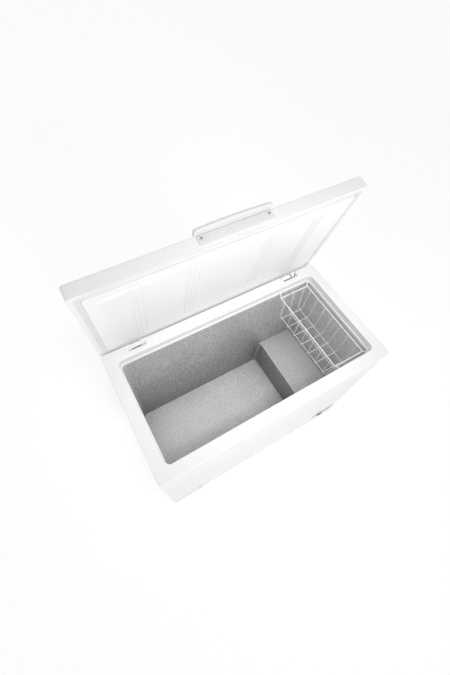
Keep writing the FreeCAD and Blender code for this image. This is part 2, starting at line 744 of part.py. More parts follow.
def makeSideGrille():
    body = newBody("SideGrille")
    plate = sketchOn(body, "YZ_Plane", bodyRight)
    lap = 8
    roundedRectangle(plate, -VENT_HALF - lap, VENT_HALF + lap, VENT_LOW - lap, VENT_HIGH + lap, 10)
    pad(body, plate, 3)
    spigot = sketchOn(body, "YZ_Plane", bodyRight)
    for inset, corner in ((0.5, 8), (3, 6)):
        roundedRectangle(spigot, inset - VENT_HALF, VENT_HALF - inset, VENT_LOW + inset,
                         VENT_HIGH - inset, corner)
    pad(body, spigot, 10, reverse=True)
    slots = sketchOn(body, "YZ_Plane", bodyRight + 5)
    roundedRectangle(slots, -134, -6, 66, 72, 2.9)
    roundedRectangle(slots, 6, 134, 66, 72, 2.9)
    first = pocket(body, slots, 10)
    rows = body.newObject("PartDesign::LinearPattern", "Louvres")
    rows.Originals = [first]
    rows.Direction = (slots, ["V_Axis"])
    rows.Length = 120
    rows.Occurrences = 11
    body.Tip = rows
    doc.recompute()
    keep(body, "side_grille")


def makeCordInlet():
    x, z = 500, 60
    flange = rod("y", x, bodyBack, z, 12, 3)
    stem = rod("y", x, bodyBack - 12, z, 7.8, 12)
    keep(cut(fuse([flange, stem]), [rod("y", x, bodyBack - 14, z, 4, 20)]), "cord_inlet")
    box = roundedBlock(x - 32, x + 28, bodyBack - 52, bodyBack - 14, 40, 92, 5)
    keep(box, "terminal_box")


# ---- control panel


def makeControlPanel():
    centre, levelZ = dim("panel_centre"), dim("panel_level")
    half, tall = dim("panel_width") / 2, dim("panel_tall") / 2
    body = newBody("PanelBezel")
    face = sketchOn(body, "XZ_Plane", -bodyFront)
    roundedRectangle(face, centre - half, centre + half, levelZ - tall, levelZ + tall, 10)
    pad(body, face, 4)
    roundEdges(body, 2, lambda edge: near(edge.BoundBox.YMin, bodyFront - 4)
               and near(edge.BoundBox.YMax, bodyFront - 4))
    tray = sketchOn(body, "XZ_Plane", -bodyFront)
    roundedRectangle(tray, centre - half + 6.5, centre + half - 6.5, levelZ - tall + 6.5,
                     levelZ + tall - 6.5, 5.5)
    pad(body, tray, 26, reverse=True)
    recess = sketchOn(body, "XZ_Plane", -(bodyFront - 4))
    roundedRectangle(recess, centre - half + 12, centre + half - 12, levelZ - tall + 14,
                     levelZ + tall - 14, 5)
    pocket(body, recess, 8)
    inside = sketchOn(body, "XZ_Plane", -(bodyFront + 26))
    roundedRectangle(inside, centre - half + 9, centre + half - 9, levelZ - tall + 9,
                     levelZ + tall - 9, 4)
    pocket(body, inside, 18, reverse=True)
    holes = sketchOn(body, "XZ_Plane", -(bodyFront - 4))
    knobX, switchX, lampX = panelPlaces()
    circle(holes, knobX, levelZ, 5.2)
    rectangle(holes, switchX - 8.3, switchX + 8.3, levelZ - 12.3, levelZ + 12.3)
    for index in range(3):
        circle(holes, lampX, levelZ + 13 * (index - 1), 3)
    pocket(body, holes, 40)
    keep(body, "control_panel")


def panelPlaces():
    centre = dim("panel_centre")
    return centre - 31, centre + 4, centre + 34


def makeControls():
    knobX, switchX, lampX = panelPlaces()
    levelZ = dim("panel_level")
    fasciaY = bodyFront + 4
    body = newBody("Fascia")
    half, tall = dim("panel_width") / 2 - 12.2, dim("panel_tall") / 2 - 14.2
    centre = dim("panel_centre")
    face = sketchOn(body, "XZ_Plane", -fasciaY)
    roundedRectangle(face, centre - half, centre + half, levelZ - tall, levelZ + tall, 4.8)
    circle(face, knobX, levelZ, 5.2)
    rectangle(face, switchX - 8.3, switchX + 8.3, levelZ - 12.3, levelZ + 12.3)
    for index in range(3):
        circle(face, lampX, levelZ + 13 * (index - 1), 3)
    pad(body, face, 1.2)
    keep(body, "panel_fascia")
    lamps = []
    for index in range(3):
        z = levelZ + 13 * (index - 1)
        lens = rod("y", lampX, bodyFront + 1.4, z, 2.9, 8, "LampLens")
        lamps.append(fillet(lens, 1.2, lambda edge: near(edge.BoundBox.YMax, bodyFront + 1.4)))
    keep(compound(lamps), "indicator_lamps")
    knob = newBody("Knob")
    disc = sketchOn(knob, "XZ_Plane", -(bodyFront + 1.8))
    circle(disc, knobX, levelZ, 15)
    pad(knob, disc, 11)
    roundEdges(knob, 1.5, lambda edge: near(edge.BoundBox.YMax, bodyFront + 1.8 - 11))
    shaft = sketchOn(knob, "XZ_Plane", -(bodyFront + 1.8))
    circle(shaft, knobX, levelZ, 5.15)
    pad(knob, shaft, 16, reverse=True)
    mark = sketchOn(knob, "XZ_Plane", -(bodyFront - 10))
    rectangle(mark, knobX - 1, knobX + 1, levelZ + 4, levelZ + 13)
    pocket(knob, mark, 2)
    keep(knob, "thermostat_knob")
    thermostat = roundedBlock(knobX - 17, knobX + 17, bodyFront + 18, bodyFront + 25.8,
                              levelZ - 22, levelZ + 22, 3)
    keep(thermostat, "thermostat")
    rocker = newBody("Rocker")
    side = sketchOn(rocker, "YZ_Plane", switchX - 8)
    outline(side, [(bodyFront + 10, levelZ - 9), (bodyFront + 10, levelZ + 9),
                   (bodyFront + 0.6, levelZ + 11), (bodyFront + 2.6, levelZ),
                   (bodyFront - 0.4, levelZ - 11)])
    pad(rocker, side, 16)
    keep(rocker, "fast_freeze_switch")
    housing = roundedBlock(switchX - 11, switchX + 11, bodyFront + 12, bodyFront + 25.8,
                           levelZ - 14, levelZ + 14, 2)
    keep(housing, "switch_housing")


# ---- hinges


def makeHinges():
    radius = dim("pin_radius")
    knuckle = dim("knuckle_radius")
    leaf = dim("leaf_gauge")
    for side, word in ((-1, "left"), (1, "right")):
        x = dim("hinge_offset") * side
        half = dim("pocket_width") / 2
        # a plastic box let into the foam keeps the foam out of the hinge
        shell = block(x - half, x + half, back - dim("pocket_depth"), bodyBack - gauge,
                      dim("pocket_floor"), rim - frameGauge - 1)
        hollow = block(x - half + 2, x + half - 2, back - dim("pocket_depth") + 2, back + 5,
                       dim("pocket_floor") + 2, rim + 5)
        ears, lugs, holes = [], [], []
        for hand in (-1, 1):
            earX = x + (dim("ear_offset") * hand) - leaf / 2
            ears.append(rod("x", earX, pivotY, pivotZ, knuckle, leaf, "Ear"))
            ears.append(block(earX, earX + leaf, pivotY - knuckle, bodyBack + leaf,
                              pivotZ - 18, pivotZ, "EarWeb"))
            lugX = x + (dim("lug_offset") * hand) - leaf / 2
            lugs.append(rod("x", lugX, pivotY, pivotZ, knuckle, leaf, "Lug"))
            lugs.append(block(lugX, lugX + leaf, pivotY - knuckle, pivotY + knuckle,
                              pivotZ, lidBottom, "LugWeb"))
        bore = rod("x", x - 60, pivotY, pivotZ, radius + dim("pin_clearance"), 120)
        keep(cut(shell, [hollow]), "hinge_pocket_" + word)
        leafPlate = block(x - 38, x + 38, bodyBack, bodyBack + leaf, 690, pivotZ - 14, "FixedLeaf")
        screwHoles = [rod("y", x + dx, bodyBack - 5, z, 2.6, 20) for dx in (-26, 26)
                      for z in (702, 732)]
        keep(cut(fuse(ears + [leafPlate]), [bore] + screwHoles), "hinge_bracket_" + word)
        armPlate = block(x - 30, x + 30, pivotY - knuckle, back - 1, lidBottom - leaf, lidBottom)
        armBores = [rod("x", x - 60, pivotY, pivotZ, radius + dim("pin_clearance"), 120)]
        armBores += [rod("z", x + dx, pivotY, lidBottom - 10, 2.6, 20) for dx in (-14, 14)]
        keep(cut(fuse(lugs + [armPlate]), armBores), "hinge_arm_" + word, onLid=True)
        spring = cut(rod("x", x - 24, pivotY, pivotZ, 8.2, 48, "SpringCoil"),
                     [rod("x", x - 60, pivotY, pivotZ, radius + 1.2, 120)])
        keep(spring, "hinge_spring_" + word)
        armScrews = [fuse([rod("z", x + dx, pivotY, lidBottom - leaf - 2, 4.4, 2),
                           rod("z", x + dx, pivotY, lidBottom - leaf, 2.5, leaf)])
                     for dx in (-14, 14)]
        keep(compound(armScrews), "hinge_arm_screws_" + word, onLid=True)
        shank = rod("x", x - 37, pivotY, pivotZ, radius, 74, "Pin")
        heads = [rod("x", x - 38.5, pivotY, pivotZ, 6, 2.2), rod("x", x + 36.3, pivotY, pivotZ, 6, 2.2)]
        keep(fuse([shank] + heads), "hinge_pin_" + word)
        screws = []
        for dx in (-26, 26):
            for z in (702, 732):
                screws.append(fuse([rod("y", x + dx, bodyBack + leaf, z, 4.5, 2.4),
                                    rod("y", x + dx, bodyBack, z, 2.5, leaf)]))
        keep(compound(screws), "hinge_screws_" + word)


# ---- lid, drawn closed and then swung open about the hinge axis


def makeLidSkin():
    edge = dim("lid_edge").number
    corner = dim("lid_corner").number
    outside = fillet(roundedBlock(left, right, front, back, lidBottom, lidTop, corner), edge,
                     lambda item: level(item, lidTop))
    inside = fillet(roundedBlock(left + gauge, right - gauge, front + gauge, back - gauge,
                                 lidBottom + gauge, lidTop - gauge, corner - 1), edge - 1,
                    lambda item: level(item, lidTop - gauge))
    hem = dim("lid_hem")
    mouth = roundedBlock(left + hem, right - hem, front + hem, back - hem, lidBottom - 1,
                         lidBottom + 5, 4)
    keep(cut(outside, [inside, mouth]), "lid_skin", onLid=True)
    core = fillet(roundedBlock(left + gauge, right - gauge, front + gauge, back - gauge,
                               lidBottom + gauge, lidTop - gauge, corner - 1), edge - 1,
                  lambda item: level(item, lidTop - gauge))
    return core


def gasketRing(grow, z0, z1):
    # The closed band of the gasket; it stands further in at the back, clear of the hinges.
    inset = dim("gasket_inset")
    rear = dim("gasket_rear_inset")
    width = dim("gasket_width")
    outer = roundedBlock(left + inset - grow, right - inset + grow, front + inset - grow,
                         back - rear + grow, z0, z1, 4 + grow)
    inner = roundedBlock(left + inset + width, right - inset - width, front + inset + width,
                         back - rear - width, z0 - 1, z1 + 1, 3)
    return cut(outer, [inner])


def makeLidLiner(core):
    inset = dim("gasket_inset")
    rear = dim("gasket_rear_inset")
    width = dim("gasket_width")
    gap = dim("channel_gap")
    deep = lidBottom + dim("channel_depth")
    sheetUp = 2
    # flange over the hem, then the channel that holds the gasket, then the raised middle
    flange = roundedBlock(left + 3, right - 3, front + 3, back - 3, lidBottom + gauge,
                          lidBottom + gauge + sheetUp, 9)
    trough = roundedBlock(left + inset - 2, right - inset + 2, front + inset - 2, back - rear + 2,
                          lidBottom + gauge, deep + sheetUp, 6)
    troughHollow = roundedBlock(left + inset, right - inset, front + inset, back - rear,
                                lidBottom - 5, deep, 4)
    middle = inset + width + gap
    rearMiddle = rear + width + gap
    island = roundedBlock(left + middle, right - middle, front + middle, back - rearMiddle,
                          lidBottom, deep + sheetUp, 14)
    channel = cut(fuse([flange, trough]), [troughHollow])
    field = dim("field_inset")
    plate = newBody("LidField")
    area = sketchOn(plate, "XY_Plane", lidBottom)
    roundedRectangle(area, left + field, right - field, front + field, back - field - 10, 22)
    pad(plate, area, dim("field_height"), reverse=True)
    depth = dim("field_height")
    roundEdges(plate, depth.number * 0.6, lambda edge: level(edge, lidBottom - depth))
    flutes = []
    for offset in (dim("flute_inner"), dim("flute_outer")):
        for side in (-1, 1):
            for step in (-1, 0, 1):
                x = offset * side + dim("flute_pitch") * step
                half = dim("flute_width") / 2
                flutes.append(block(x - half, x + half, front, back, lidBottom - depth - 1, lidBottom))
    raised = cut(plate, flutes)
    shell = cut(fuse([channel, island, raised]), [lidHollow(middle, rearMiddle, deep, sheetUp)])
    keep(shell, "lid_liner", onLid=True)
    filling = [roundedBlock(left + 3, right - 3, front + 3, back - 3, lidBottom - 10,
                            lidBottom + gauge + sheetUp, 9),
               roundedBlock(left + inset - 2, right - inset + 2, front + inset - 2,
                            back - rear + 2, lidBottom - 10, deep + sheetUp, 6)]
    island = lidHollow(middle, rearMiddle, deep, sheetUp)
    rest = cut(core, filling + [block(-600, 600, -300, 300, lidBottom - 5,
                                      lidBottom + gauge + sheetUp)])
    keep(fuse([rest, island]), "lid_foam", onLid=True)


def lidHollow(middle, rearMiddle, deep, sheetUp):
    # The part of the foam that reaches down into the raised middle of the liner.
    return roundedBlock(left + middle + 2, right - middle - 2, front + middle + 2,
                        back - rearMiddle - 2, lidBottom + 2, deep + sheetUp, 12)


def makeGasket():
    proud = dim("gasket_proud")
    band = gasketRing(0, lidBottom - proud, lidBottom + dim("channel_depth"))
    rounded = fillet(band, 1.8, lambda edge: level(edge, lidBottom - proud))
    keep(rounded, "lid_gasket", onLid=True)


def makeHandle():
    middle = dim("handle_middle")
    half = dim("plate_length") / 2
    # a vertical plate against the lid's front edge
    plate = newBody("HandlePlate")
    face = sketchOn(plate, "XZ_Plane", -front)
    top = lidTop - 3
    roundedRectangle(face, middle - half, middle + half, top - dim("plate_tall"), top, 6)
    pad(plate, face, dim("plate_gauge"))
    # the grip: a ledge with a bowed front that the fingers hook under
    grip = newBody("HandleGrip")
    gripTop = lidTop + dim("grip_rise")
    bowed = sketchOn(grip, "XY_Plane", gripTop - dim("grip_thickness"))
    bowOutline(bowed, middle, dim("grip_length") / 2, dim("grip_end_reach"), dim("grip_reach"))
    pad(grip, bowed, dim("grip_thickness"))
    roundEdges(grip, 10, lambda edge: upright(edge) and edge.BoundBox.YMin < front.number - 10)
    roundEdges(grip, 5, lambda edge: edge.BoundBox.ZLength < 0.01
               and edge.BoundBox.YMin < front.number - 1)
    screwZ = lidBottom + 33
    places = [middle + dim("handle_screw") * side for side in (-1, 1)]
    holes = [rod("y", x, front - 10, screwZ, 2.6, 20) for x in places]
    keep(cut(fuse([grip, plate]), holes), "lid_handle", onLid=True)
    screws = []
    for x in places:
        shank = rod("y", x, front - dim("plate_gauge"), screwZ, 2.5, dim("plate_gauge"))
        head = rod("y", x, front - 5.9, screwZ, 4.8, 2.4)
        slot = block(x - 3.4, x + 3.4, front - 7, front - 5, screwZ - 0.5, screwZ + 0.5)
        rounded = fillet(head, 1.4, lambda edge: near(edge.BoundBox.YMax, front - 5.9))
        screws.append(cut(fuse([shank, rounded]), [slot]))
    keep(compound(screws), "handle_screws", onLid=True)


def bowOutline(sketch, middle, half, endReach, reach):
    # A straight back edge, short ends and one long arc in front; Y is measured from the lid.
    sag = reach.number - endReach.number
    radius = (half.number ** 2 + sag ** 2) / (2 * sag)
    tip = front - reach
    centre = Vector(middle.number, tip.number + radius, 0)
    spread = math.asin(half.number / radius)
    corners = [(middle + half, front), (middle - half, front),
               (middle - half, front - endReach), (middle + half, front - endReach)]
    a, b, c, d = [Vector(x.number, y.number, 0) for x, y in corners]
    first = sketch.GeometryCount
    sketch.addGeometry(Part.LineSegment(a, b))
    sketch.addGeometry(Part.LineSegment(b, c))
    sketch.addGeometry(Part.ArcOfCircle(Part.Circle(centre, Vector(0, 0, 1), radius),
                                        -math.pi / 2 - spread, -math.pi / 2 + spread))
    sketch.addGeometry(Part.LineSegment(d, a))
    for index in range(4):
        sketch.addConstraint(Sketcher.Constraint("Coincident", first + index, 2,
                                                 first + (index + 1) % 4, 1))
    for index, point, corner in ((0, 1, 0), (0, 2, 1), (1, 2, 2), (3, 1, 3)):
        x, y = corners[corner]
        pin(sketch, "DistanceX", first + index, point, x)
        pin(sketch, "DistanceY", first + index, point, y)
    sketch.addConstraint(Sketcher.Constraint("Radius", first + 2, radius))


# ---- hanging wire basket


def makeBasket():
    ringR = dim("ring_wire").number / 2
    gridR = dim("grid_wire").number / 2
    x0, x1 = dim("basket_left").number, dim("basket_right").number
    y0 = front.number + dim("basket_front").number
    y1 = front.number + dim("basket_rear").number
    z1 = (rim - dim("basket_ring_drop")).number
    z0 = z1 - dim("basket_depth").number
    hookZ = ledgeTop.number + ringR + 0.2
    hookFront = wellFront.number - ledge.number + 1.6
    hookBack = wellBack.number + ledge.number - 1.6
    sides = []
    for x in (x0, x1):
        route = [(x, hookFront, hookZ), (x, hookFront + 9.5, hookZ), (x, y0, z1), (x, y1, z1),
                 (x, hookBack - 9.5, hookZ), (x, hookBack, hookZ)]
        sides.append(feature(sweptRod(route, 7, ringR), "SideBar"))
    keep(compound(sides), "basket_side_bars")
    ends = [rod("x", x0 + ringR - 0.4, y, z1, ringR, x1 - x0 - 2 * ringR + 0.8, "EndBar")
            for y in (y0 + 1, y1 - 1)]
    keep(compound(ends), "basket_end_bars")
    taper = dim("basket_taper").number
    inside = ringR + gridR - 0.3
    cross = []
    pitch = dim("cross_pitch").number
    middleY = (y0 + y1) / 2 + 2
    for index in range(-3, 4):
        y = middleY + pitch * index
        route = [(x0 + inside, y, z1), (x0 + taper, y, z0), (x1 - taper, y, z0), (x1 - inside, y, z1)]
        cross.append(feature(sweptRod(route, 14, gridR), "CrossWire"))
    keep(compound(cross), "basket_cross_wires")
    endTaper = dim("basket_end_taper").number
    long = []
    longPitch = dim("long_pitch").number
    middleX = (x0 + x1) / 2 - 2
    rise = 2 * gridR - 0.3
    for index in (-1, 0, 1):
        x = middleX + longPitch * index
        route = [(x, y0 + 1 + inside, z1), (x, y0 + endTaper, z0 + rise),
                 (x, y1 - endTaper, z0 + rise), (x, y1 - 1 - inside, z1)]
        long.append(feature(sweptRod(route, 14, gridR), "LongWire"))
    keep(compound(long), "basket_long_wires")


def writeParts():
    doc.recompute()
    for obj in doc.Objects:
        if "Invalid" in obj.State or "Error" in obj.State:
            raise RuntimeError("%s failed: %s" % (obj.Name, obj.State))
    os.makedirs("parts", exist_ok=True)
    for obj in kept:
        shape = obj.Shape
        if shape.isNull() or not shape.isValid() or not shape.Solids:
            raise RuntimeError("%s has no valid solid" % obj.Label)
        shape.exportStep(os.path.join("parts", obj.Label + ".step"))
        box = shape.BoundBox
        print("%-24s %d solid(s)  X %.1f..%.1f  Y %.1f..%.1f  Z %.1f..%.1f" % (
            obj.Label, len(shape.Solids), box.XMin, box.XMax, box.YMin, box.YMax, box.ZMin, box.ZMax))


makeTopFrame()
makeLiner()
makeOuterCabinet()
makeRearPanel()
makeBasePan()
makeFeet()
makeFoam(makeCoils())
makeDrain()
makeCompressor()
makeRefrigerantParts()
makeSideGrille()
makeCordInlet()
makeControlPanel()
makeControls()
makeHinges()
makeLidLiner(makeLidSkin())
makeGasket()
makeHandle()
makeBasket()
writeParts()
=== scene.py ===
import json
import math
import bmesh
import bpy
from mathutils import Matrix, Vector


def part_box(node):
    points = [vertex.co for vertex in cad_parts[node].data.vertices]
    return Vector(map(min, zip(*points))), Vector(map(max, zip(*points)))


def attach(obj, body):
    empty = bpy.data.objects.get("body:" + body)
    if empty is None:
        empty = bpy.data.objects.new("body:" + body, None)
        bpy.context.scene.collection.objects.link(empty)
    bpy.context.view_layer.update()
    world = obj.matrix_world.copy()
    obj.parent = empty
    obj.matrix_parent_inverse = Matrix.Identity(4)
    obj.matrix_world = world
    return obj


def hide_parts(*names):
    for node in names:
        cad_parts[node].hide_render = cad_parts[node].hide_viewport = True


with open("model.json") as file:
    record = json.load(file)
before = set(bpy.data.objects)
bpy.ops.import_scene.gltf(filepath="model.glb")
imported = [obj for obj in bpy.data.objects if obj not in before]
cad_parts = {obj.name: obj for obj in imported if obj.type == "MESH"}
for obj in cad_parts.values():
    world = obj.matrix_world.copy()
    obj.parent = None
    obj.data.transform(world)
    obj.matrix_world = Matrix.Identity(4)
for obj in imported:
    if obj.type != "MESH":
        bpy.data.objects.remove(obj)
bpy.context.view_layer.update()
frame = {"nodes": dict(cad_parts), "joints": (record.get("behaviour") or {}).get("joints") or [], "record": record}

# Chest freezer standing open on a plain pale floor, in metres: +X is its right, the front is -Y.
nodes = frame["nodes"]
mm = 0.001

# The lid rests open. Its pieces are drawn closed and turned back about the hinge axis.
lidHinge = [joint for joint in frame["joints"] if joint["name"] == "lid_hinge"][0]
hingeAt = Vector(lidHinge["pos_m"])
openAngle = math.radians(lidHinge["range_deg"][1])
openLid = (Matrix.Translation(hingeAt) @ Matrix.Rotation(-openAngle, 4, "X")
           @ Matrix.Translation(-hingeAt))


def closedBox(node):
    # the box of a lid node with the lid shut
    shut = openLid.inverted()
    points = [shut @ vertex.co for vertex in nodes[node].data.vertices]
    low = Vector([min(point[axis] for point in points) for axis in range(3)])
    high = Vector([max(point[axis] for point in points) for axis in range(3)])
    return low, high


def fromHex(hexColour):
    # sRGB hex to the linear values that shaders use
    channels = [int(hexColour[start:start + 2], 16) / 255 for start in (0, 2, 4)]
    linear = [c / 12.92 if c <= 0.04045 else ((c + 0.055) / 1.055) ** 2.4 for c in channels]
    return (*linear, 1.0)


def addNode(material, kind, settings=None, inputs=None, stops=()):
    # One node with its properties, its inputs as plain values or as sockets to link from,
    # and for a colour ramp its stops, each a place and a hex colour.
    tree = material.node_tree
    node = tree.nodes.new(kind)
    for name, value in (settings or {}).items():
        setattr(node, name, value)
    for name, value in (inputs or {}).items():
        if isinstance(value, bpy.types.NodeSocket):
            tree.links.new(value, node.inputs[name])
        else:
            node.inputs[name].default_value = value
    if stops:
        elements = node.color_ramp.elements
        while len(elements) < len(stops):
            elements.new(0.5)
        for element, (place, hexColour) in zip(elements, stops):
            element.position = place
            element.color = fromHex(hexColour)
    return node


def newMaterial(name, surface):
    material = bpy.data.materials.new(name)
    material.use_nodes = True
    shader = material.node_tree.nodes["Principled BSDF"]
    for socket, value in surface.items():
        shader.inputs[socket].default_value = value
    return material, shader


# Finishes that share one recipe: a broad drift between two tones, and a fine grain that sets both the
# relief and the roughness. Patch and grain are the widths of one patch of tone and one grain, in mm.
plainFinishes = {
    # baked white enamel on rolled sheet: smooth and bright, with a faint orange peel about 4 mm across
    "whiteEnamel": {"tones": ("EEEEEE", "F1F1F1"), "patch": 350, "grain": 4, "relief": 0.03,
                    "roughness": (0.3, 0.36),
                    "surface": {"IOR": 1.5, "Coat Weight": 0.35, "Coat Roughness": 0.12}},
    # injection moulded ABS of the rim: brighter than the steel, satin; its grain is under 1 mm wide and is
    # drawn at 2 mm so that it shows
    "whiteAbs": {"tones": ("F1F1F1", "F5F5F5"), "patch": 300, "grain": 2, "relief": 0.02,
                 "roughness": (0.38, 0.46), "surface": {"IOR": 1.53}},
    # thermoformed high impact polystyrene: soft satin, slightly wavy where the sheet stretched
    "lidPolystyrene": {"tones": ("F0F0F0", "F4F4F4"), "patch": 220, "grain": 25, "relief": 0.12,
                       "roughness": (0.36, 0.46), "surface": {"IOR": 1.55}},
    # moulded ABS with a spark eroded surface: a shade greyer than the lid, satin
    "handleAbs": {"tones": ("DADADA", "E0E0E0"), "patch": 120, "grain": 1, "relief": 0.02,
                  "roughness": (0.4, 0.5), "surface": {"IOR": 1.53}},
    # extruded soft vinyl: a dull, slightly uneven white
    "gasketVinyl": {"tones": ("DEDEDE", "E6E6E6"), "patch": 150, "grain": 3, "relief": 0.05,
                    "roughness": (0.5, 0.6), "surface": {"IOR": 1.53}},
    # polyethylene fused onto wire: thick, smooth and white, with a soft shine
    "polyethyleneCoat": {"tones": ("F6F6F5", "FCFCFB"), "patch": 50, "grain": 2, "relief": 0.02,
                         "roughness": (0.3, 0.4), "surface": {"IOR": 1.51}},
    # moulded polypropylene: white and waxy
    "whitePolypropylene": {"tones": ("EDEEEE", "F4F4F4"), "patch": 100, "grain": 1, "relief": 0.02,
                           "roughness": (0.42, 0.52), "surface": {"IOR": 1.49}},
    # moulded polypropylene of the control panel: a little darker than the sheet round it
    "panelPolypropylene": {"tones": ("E9E9E9", "EEEEEE"), "patch": 80, "grain": 1, "relief": 0.03,
                           "roughness": (0.42, 0.52), "surface": {"IOR": 1.53}},
    # polycarbonate film printed silver on its back: flat mid grey with a soft shine
    "silverPolycarbonate": {"tones": ("9A9DA1", "A8ABAF"), "patch": 50, "grain": 0.8, "relief": 0.01,
                            "roughness": (0.34, 0.42), "surface": {"IOR": 1.58}},
    # moulded ABS of the knob: dark grey, matt from its texture
    "darkGreyAbs": {"tones": ("74767A", "808286"), "patch": 30, "grain": 0.8, "relief": 0.03,
                    "roughness": (0.42, 0.55), "surface": {"IOR": 1.53}},
    # moulded clear orange polycarbonate of the rocker: bright, with a little depth
    "orangePolycarbonate": {"tones": ("E07A1E", "EE8C2C"), "patch": 20, "grain": 1, "relief": 0.01,
                            "roughness": (0.2, 0.28), "surface": {"IOR": 1.58, "Transmission Weight": 0.15}},
    # moulded clear green polycarbonate of the lamps: glossy, with more depth than the rocker
    "greenLens": {"tones": ("2E8F4A", "3CA85B"), "patch": 10, "grain": 1, "relief": 0.01,
                  "roughness": (0.12, 0.2), "surface": {"IOR": 1.58, "Transmission Weight": 0.3}},
    # electroplated zinc on screws and brackets: cool bright metal, faintly clouded
    "zincPlate": {"tones": ("B4B6B9", "C4C6C9"), "patch": 20, "grain": 1.5, "relief": 0.01,
                  "roughness": (0.25, 0.38), "surface": {"Metallic": 1.0}},
    # drawn spring wire, plated: bright, a shade darker and duller than the brackets
    "springSteel": {"tones": ("A6A8AC", "B8BABE"), "patch": 20, "grain": 1, "relief": 0.01,
                    "roughness": (0.28, 0.4), "surface": {"Metallic": 1.0}},
    # drawn aluminium tube: pale, with a soft shine
    "drawnAluminium": {"tones": ("B9BBBD", "C9CBCD"), "patch": 50, "grain": 2, "relief": 0.01,
                       "roughness": (0.3, 0.42), "surface": {"Metallic": 1.0}},
    # drawn copper tube: warm, clouded where it has been handled
    "drawnCopper": {"tones": ("B87350", "C98A63"), "patch": 40, "grain": 2, "relief": 0.01,
                    "roughness": (0.25, 0.4), "surface": {"Metallic": 1.0}},
    # stoved black enamel of the compressor: deep and glossy
    "blackEnamel": {"tones": ("141416", "1D1D20"), "patch": 100, "grain": 3, "relief": 0.03,
                    "roughness": (0.18, 0.3), "surface": {"IOR": 1.5}},
    # moulded black polypropylene: dull, with a fine texture
    "blackPolypropylene": {"tones": ("1C1C1E", "262628"), "patch": 50, "grain": 0.8, "relief": 0.03,
                           "roughness": (0.5, 0.62), "surface": {"IOR": 1.49}},
    # moulded black rubber: the dullest of the blacks
    "blackRubber": {"tones": ("1A1A1B", "222224"), "patch": 40, "grain": 1, "relief": 0.04,
                    "roughness": (0.65, 0.8), "surface": {"IOR": 1.52}},
    # poured polyurethane foam: pale straw yellow, open and rough
    "polyurethaneFoam": {"tones": ("E3D6A8", "EFE4BC"), "patch": 60, "grain": 4, "relief": 0.5,
                         "roughness": (0.8, 0.95), "surface": {"IOR": 1.4}},
}


def plainFinish(name):
    finish = plainFinishes[name]
    material, shader = newMaterial(name, finish["surface"])
    place = addNode(material, "ShaderNodeTexCoord").outputs["Object"]
    drift = addNode(material, "ShaderNodeTexNoise", inputs={
        "Vector": place, "Scale": 1 / (finish["patch"] * mm), "Detail": 3.0})
    low, high = finish["tones"]
    tone = addNode(material, "ShaderNodeValToRGB", inputs={"Fac": drift.outputs["Fac"]},
                   stops=[(0.3, low), (0.7, high)])
    grain = addNode(material, "ShaderNodeTexNoise", inputs={
        "Vector": place, "Scale": 1 / (finish["grain"] * mm), "Detail": 2.0})
    smoothest, roughest = finish["roughness"]
    rough = addNode(material, "ShaderNodeMapRange", inputs={
        "Value": grain.outputs["Fac"], "From Min": 0.3, "From Max": 0.7,
        "To Min": smoothest, "To Max": roughest})
    relief = addNode(material, "ShaderNodeBump", inputs={
        "Height": grain.outputs["Fac"], "Distance": finish["relief"] * mm, "Strength": 1.0})
    links = material.node_tree.links
    links.new(tone.outputs["Color"], shader.inputs["Base Color"])
    links.new(rough.outputs["Result"], shader.inputs["Roughness"])
    links.new(relief.outputs["Normal"], shader.inputs["Normal"])
    return material


# Stucco embossed aluminium sheet: grey metal broken into small facets that sparkle light and dark,
# with painted shade that darkens the walls towards the bottom of the well, while faces that look up stay nearly
# clear of it.
# The shade's limits are heights in metres, and its speckle is how far up or down the blotches shift them.
stuccoSheet = {
    "metallic": 0.68, "cell": 5 * mm,  # real cells are about 3 mm, drawn coarser so that they show
    "cloud": 200 * mm, "blotchTones": [(0.34, "CACACA"), (0.5, "F4F4F4"), (0.66, "FFFFFF")],
    "cloudTones": [(0.3, "F2F2F2"), (0.7, "FFFFFF")], "shadeLow": 0.4, "shadeHigh": 1.05,
    "shadeSpeckle": 0.9, "shadeDarkest": 0.26, "levelShadeLimit": 0.93, "roughness": (0.45, 0.62),
    "cellRelief": 1.2 * mm, "fineRelief": 0.5 * mm,
}


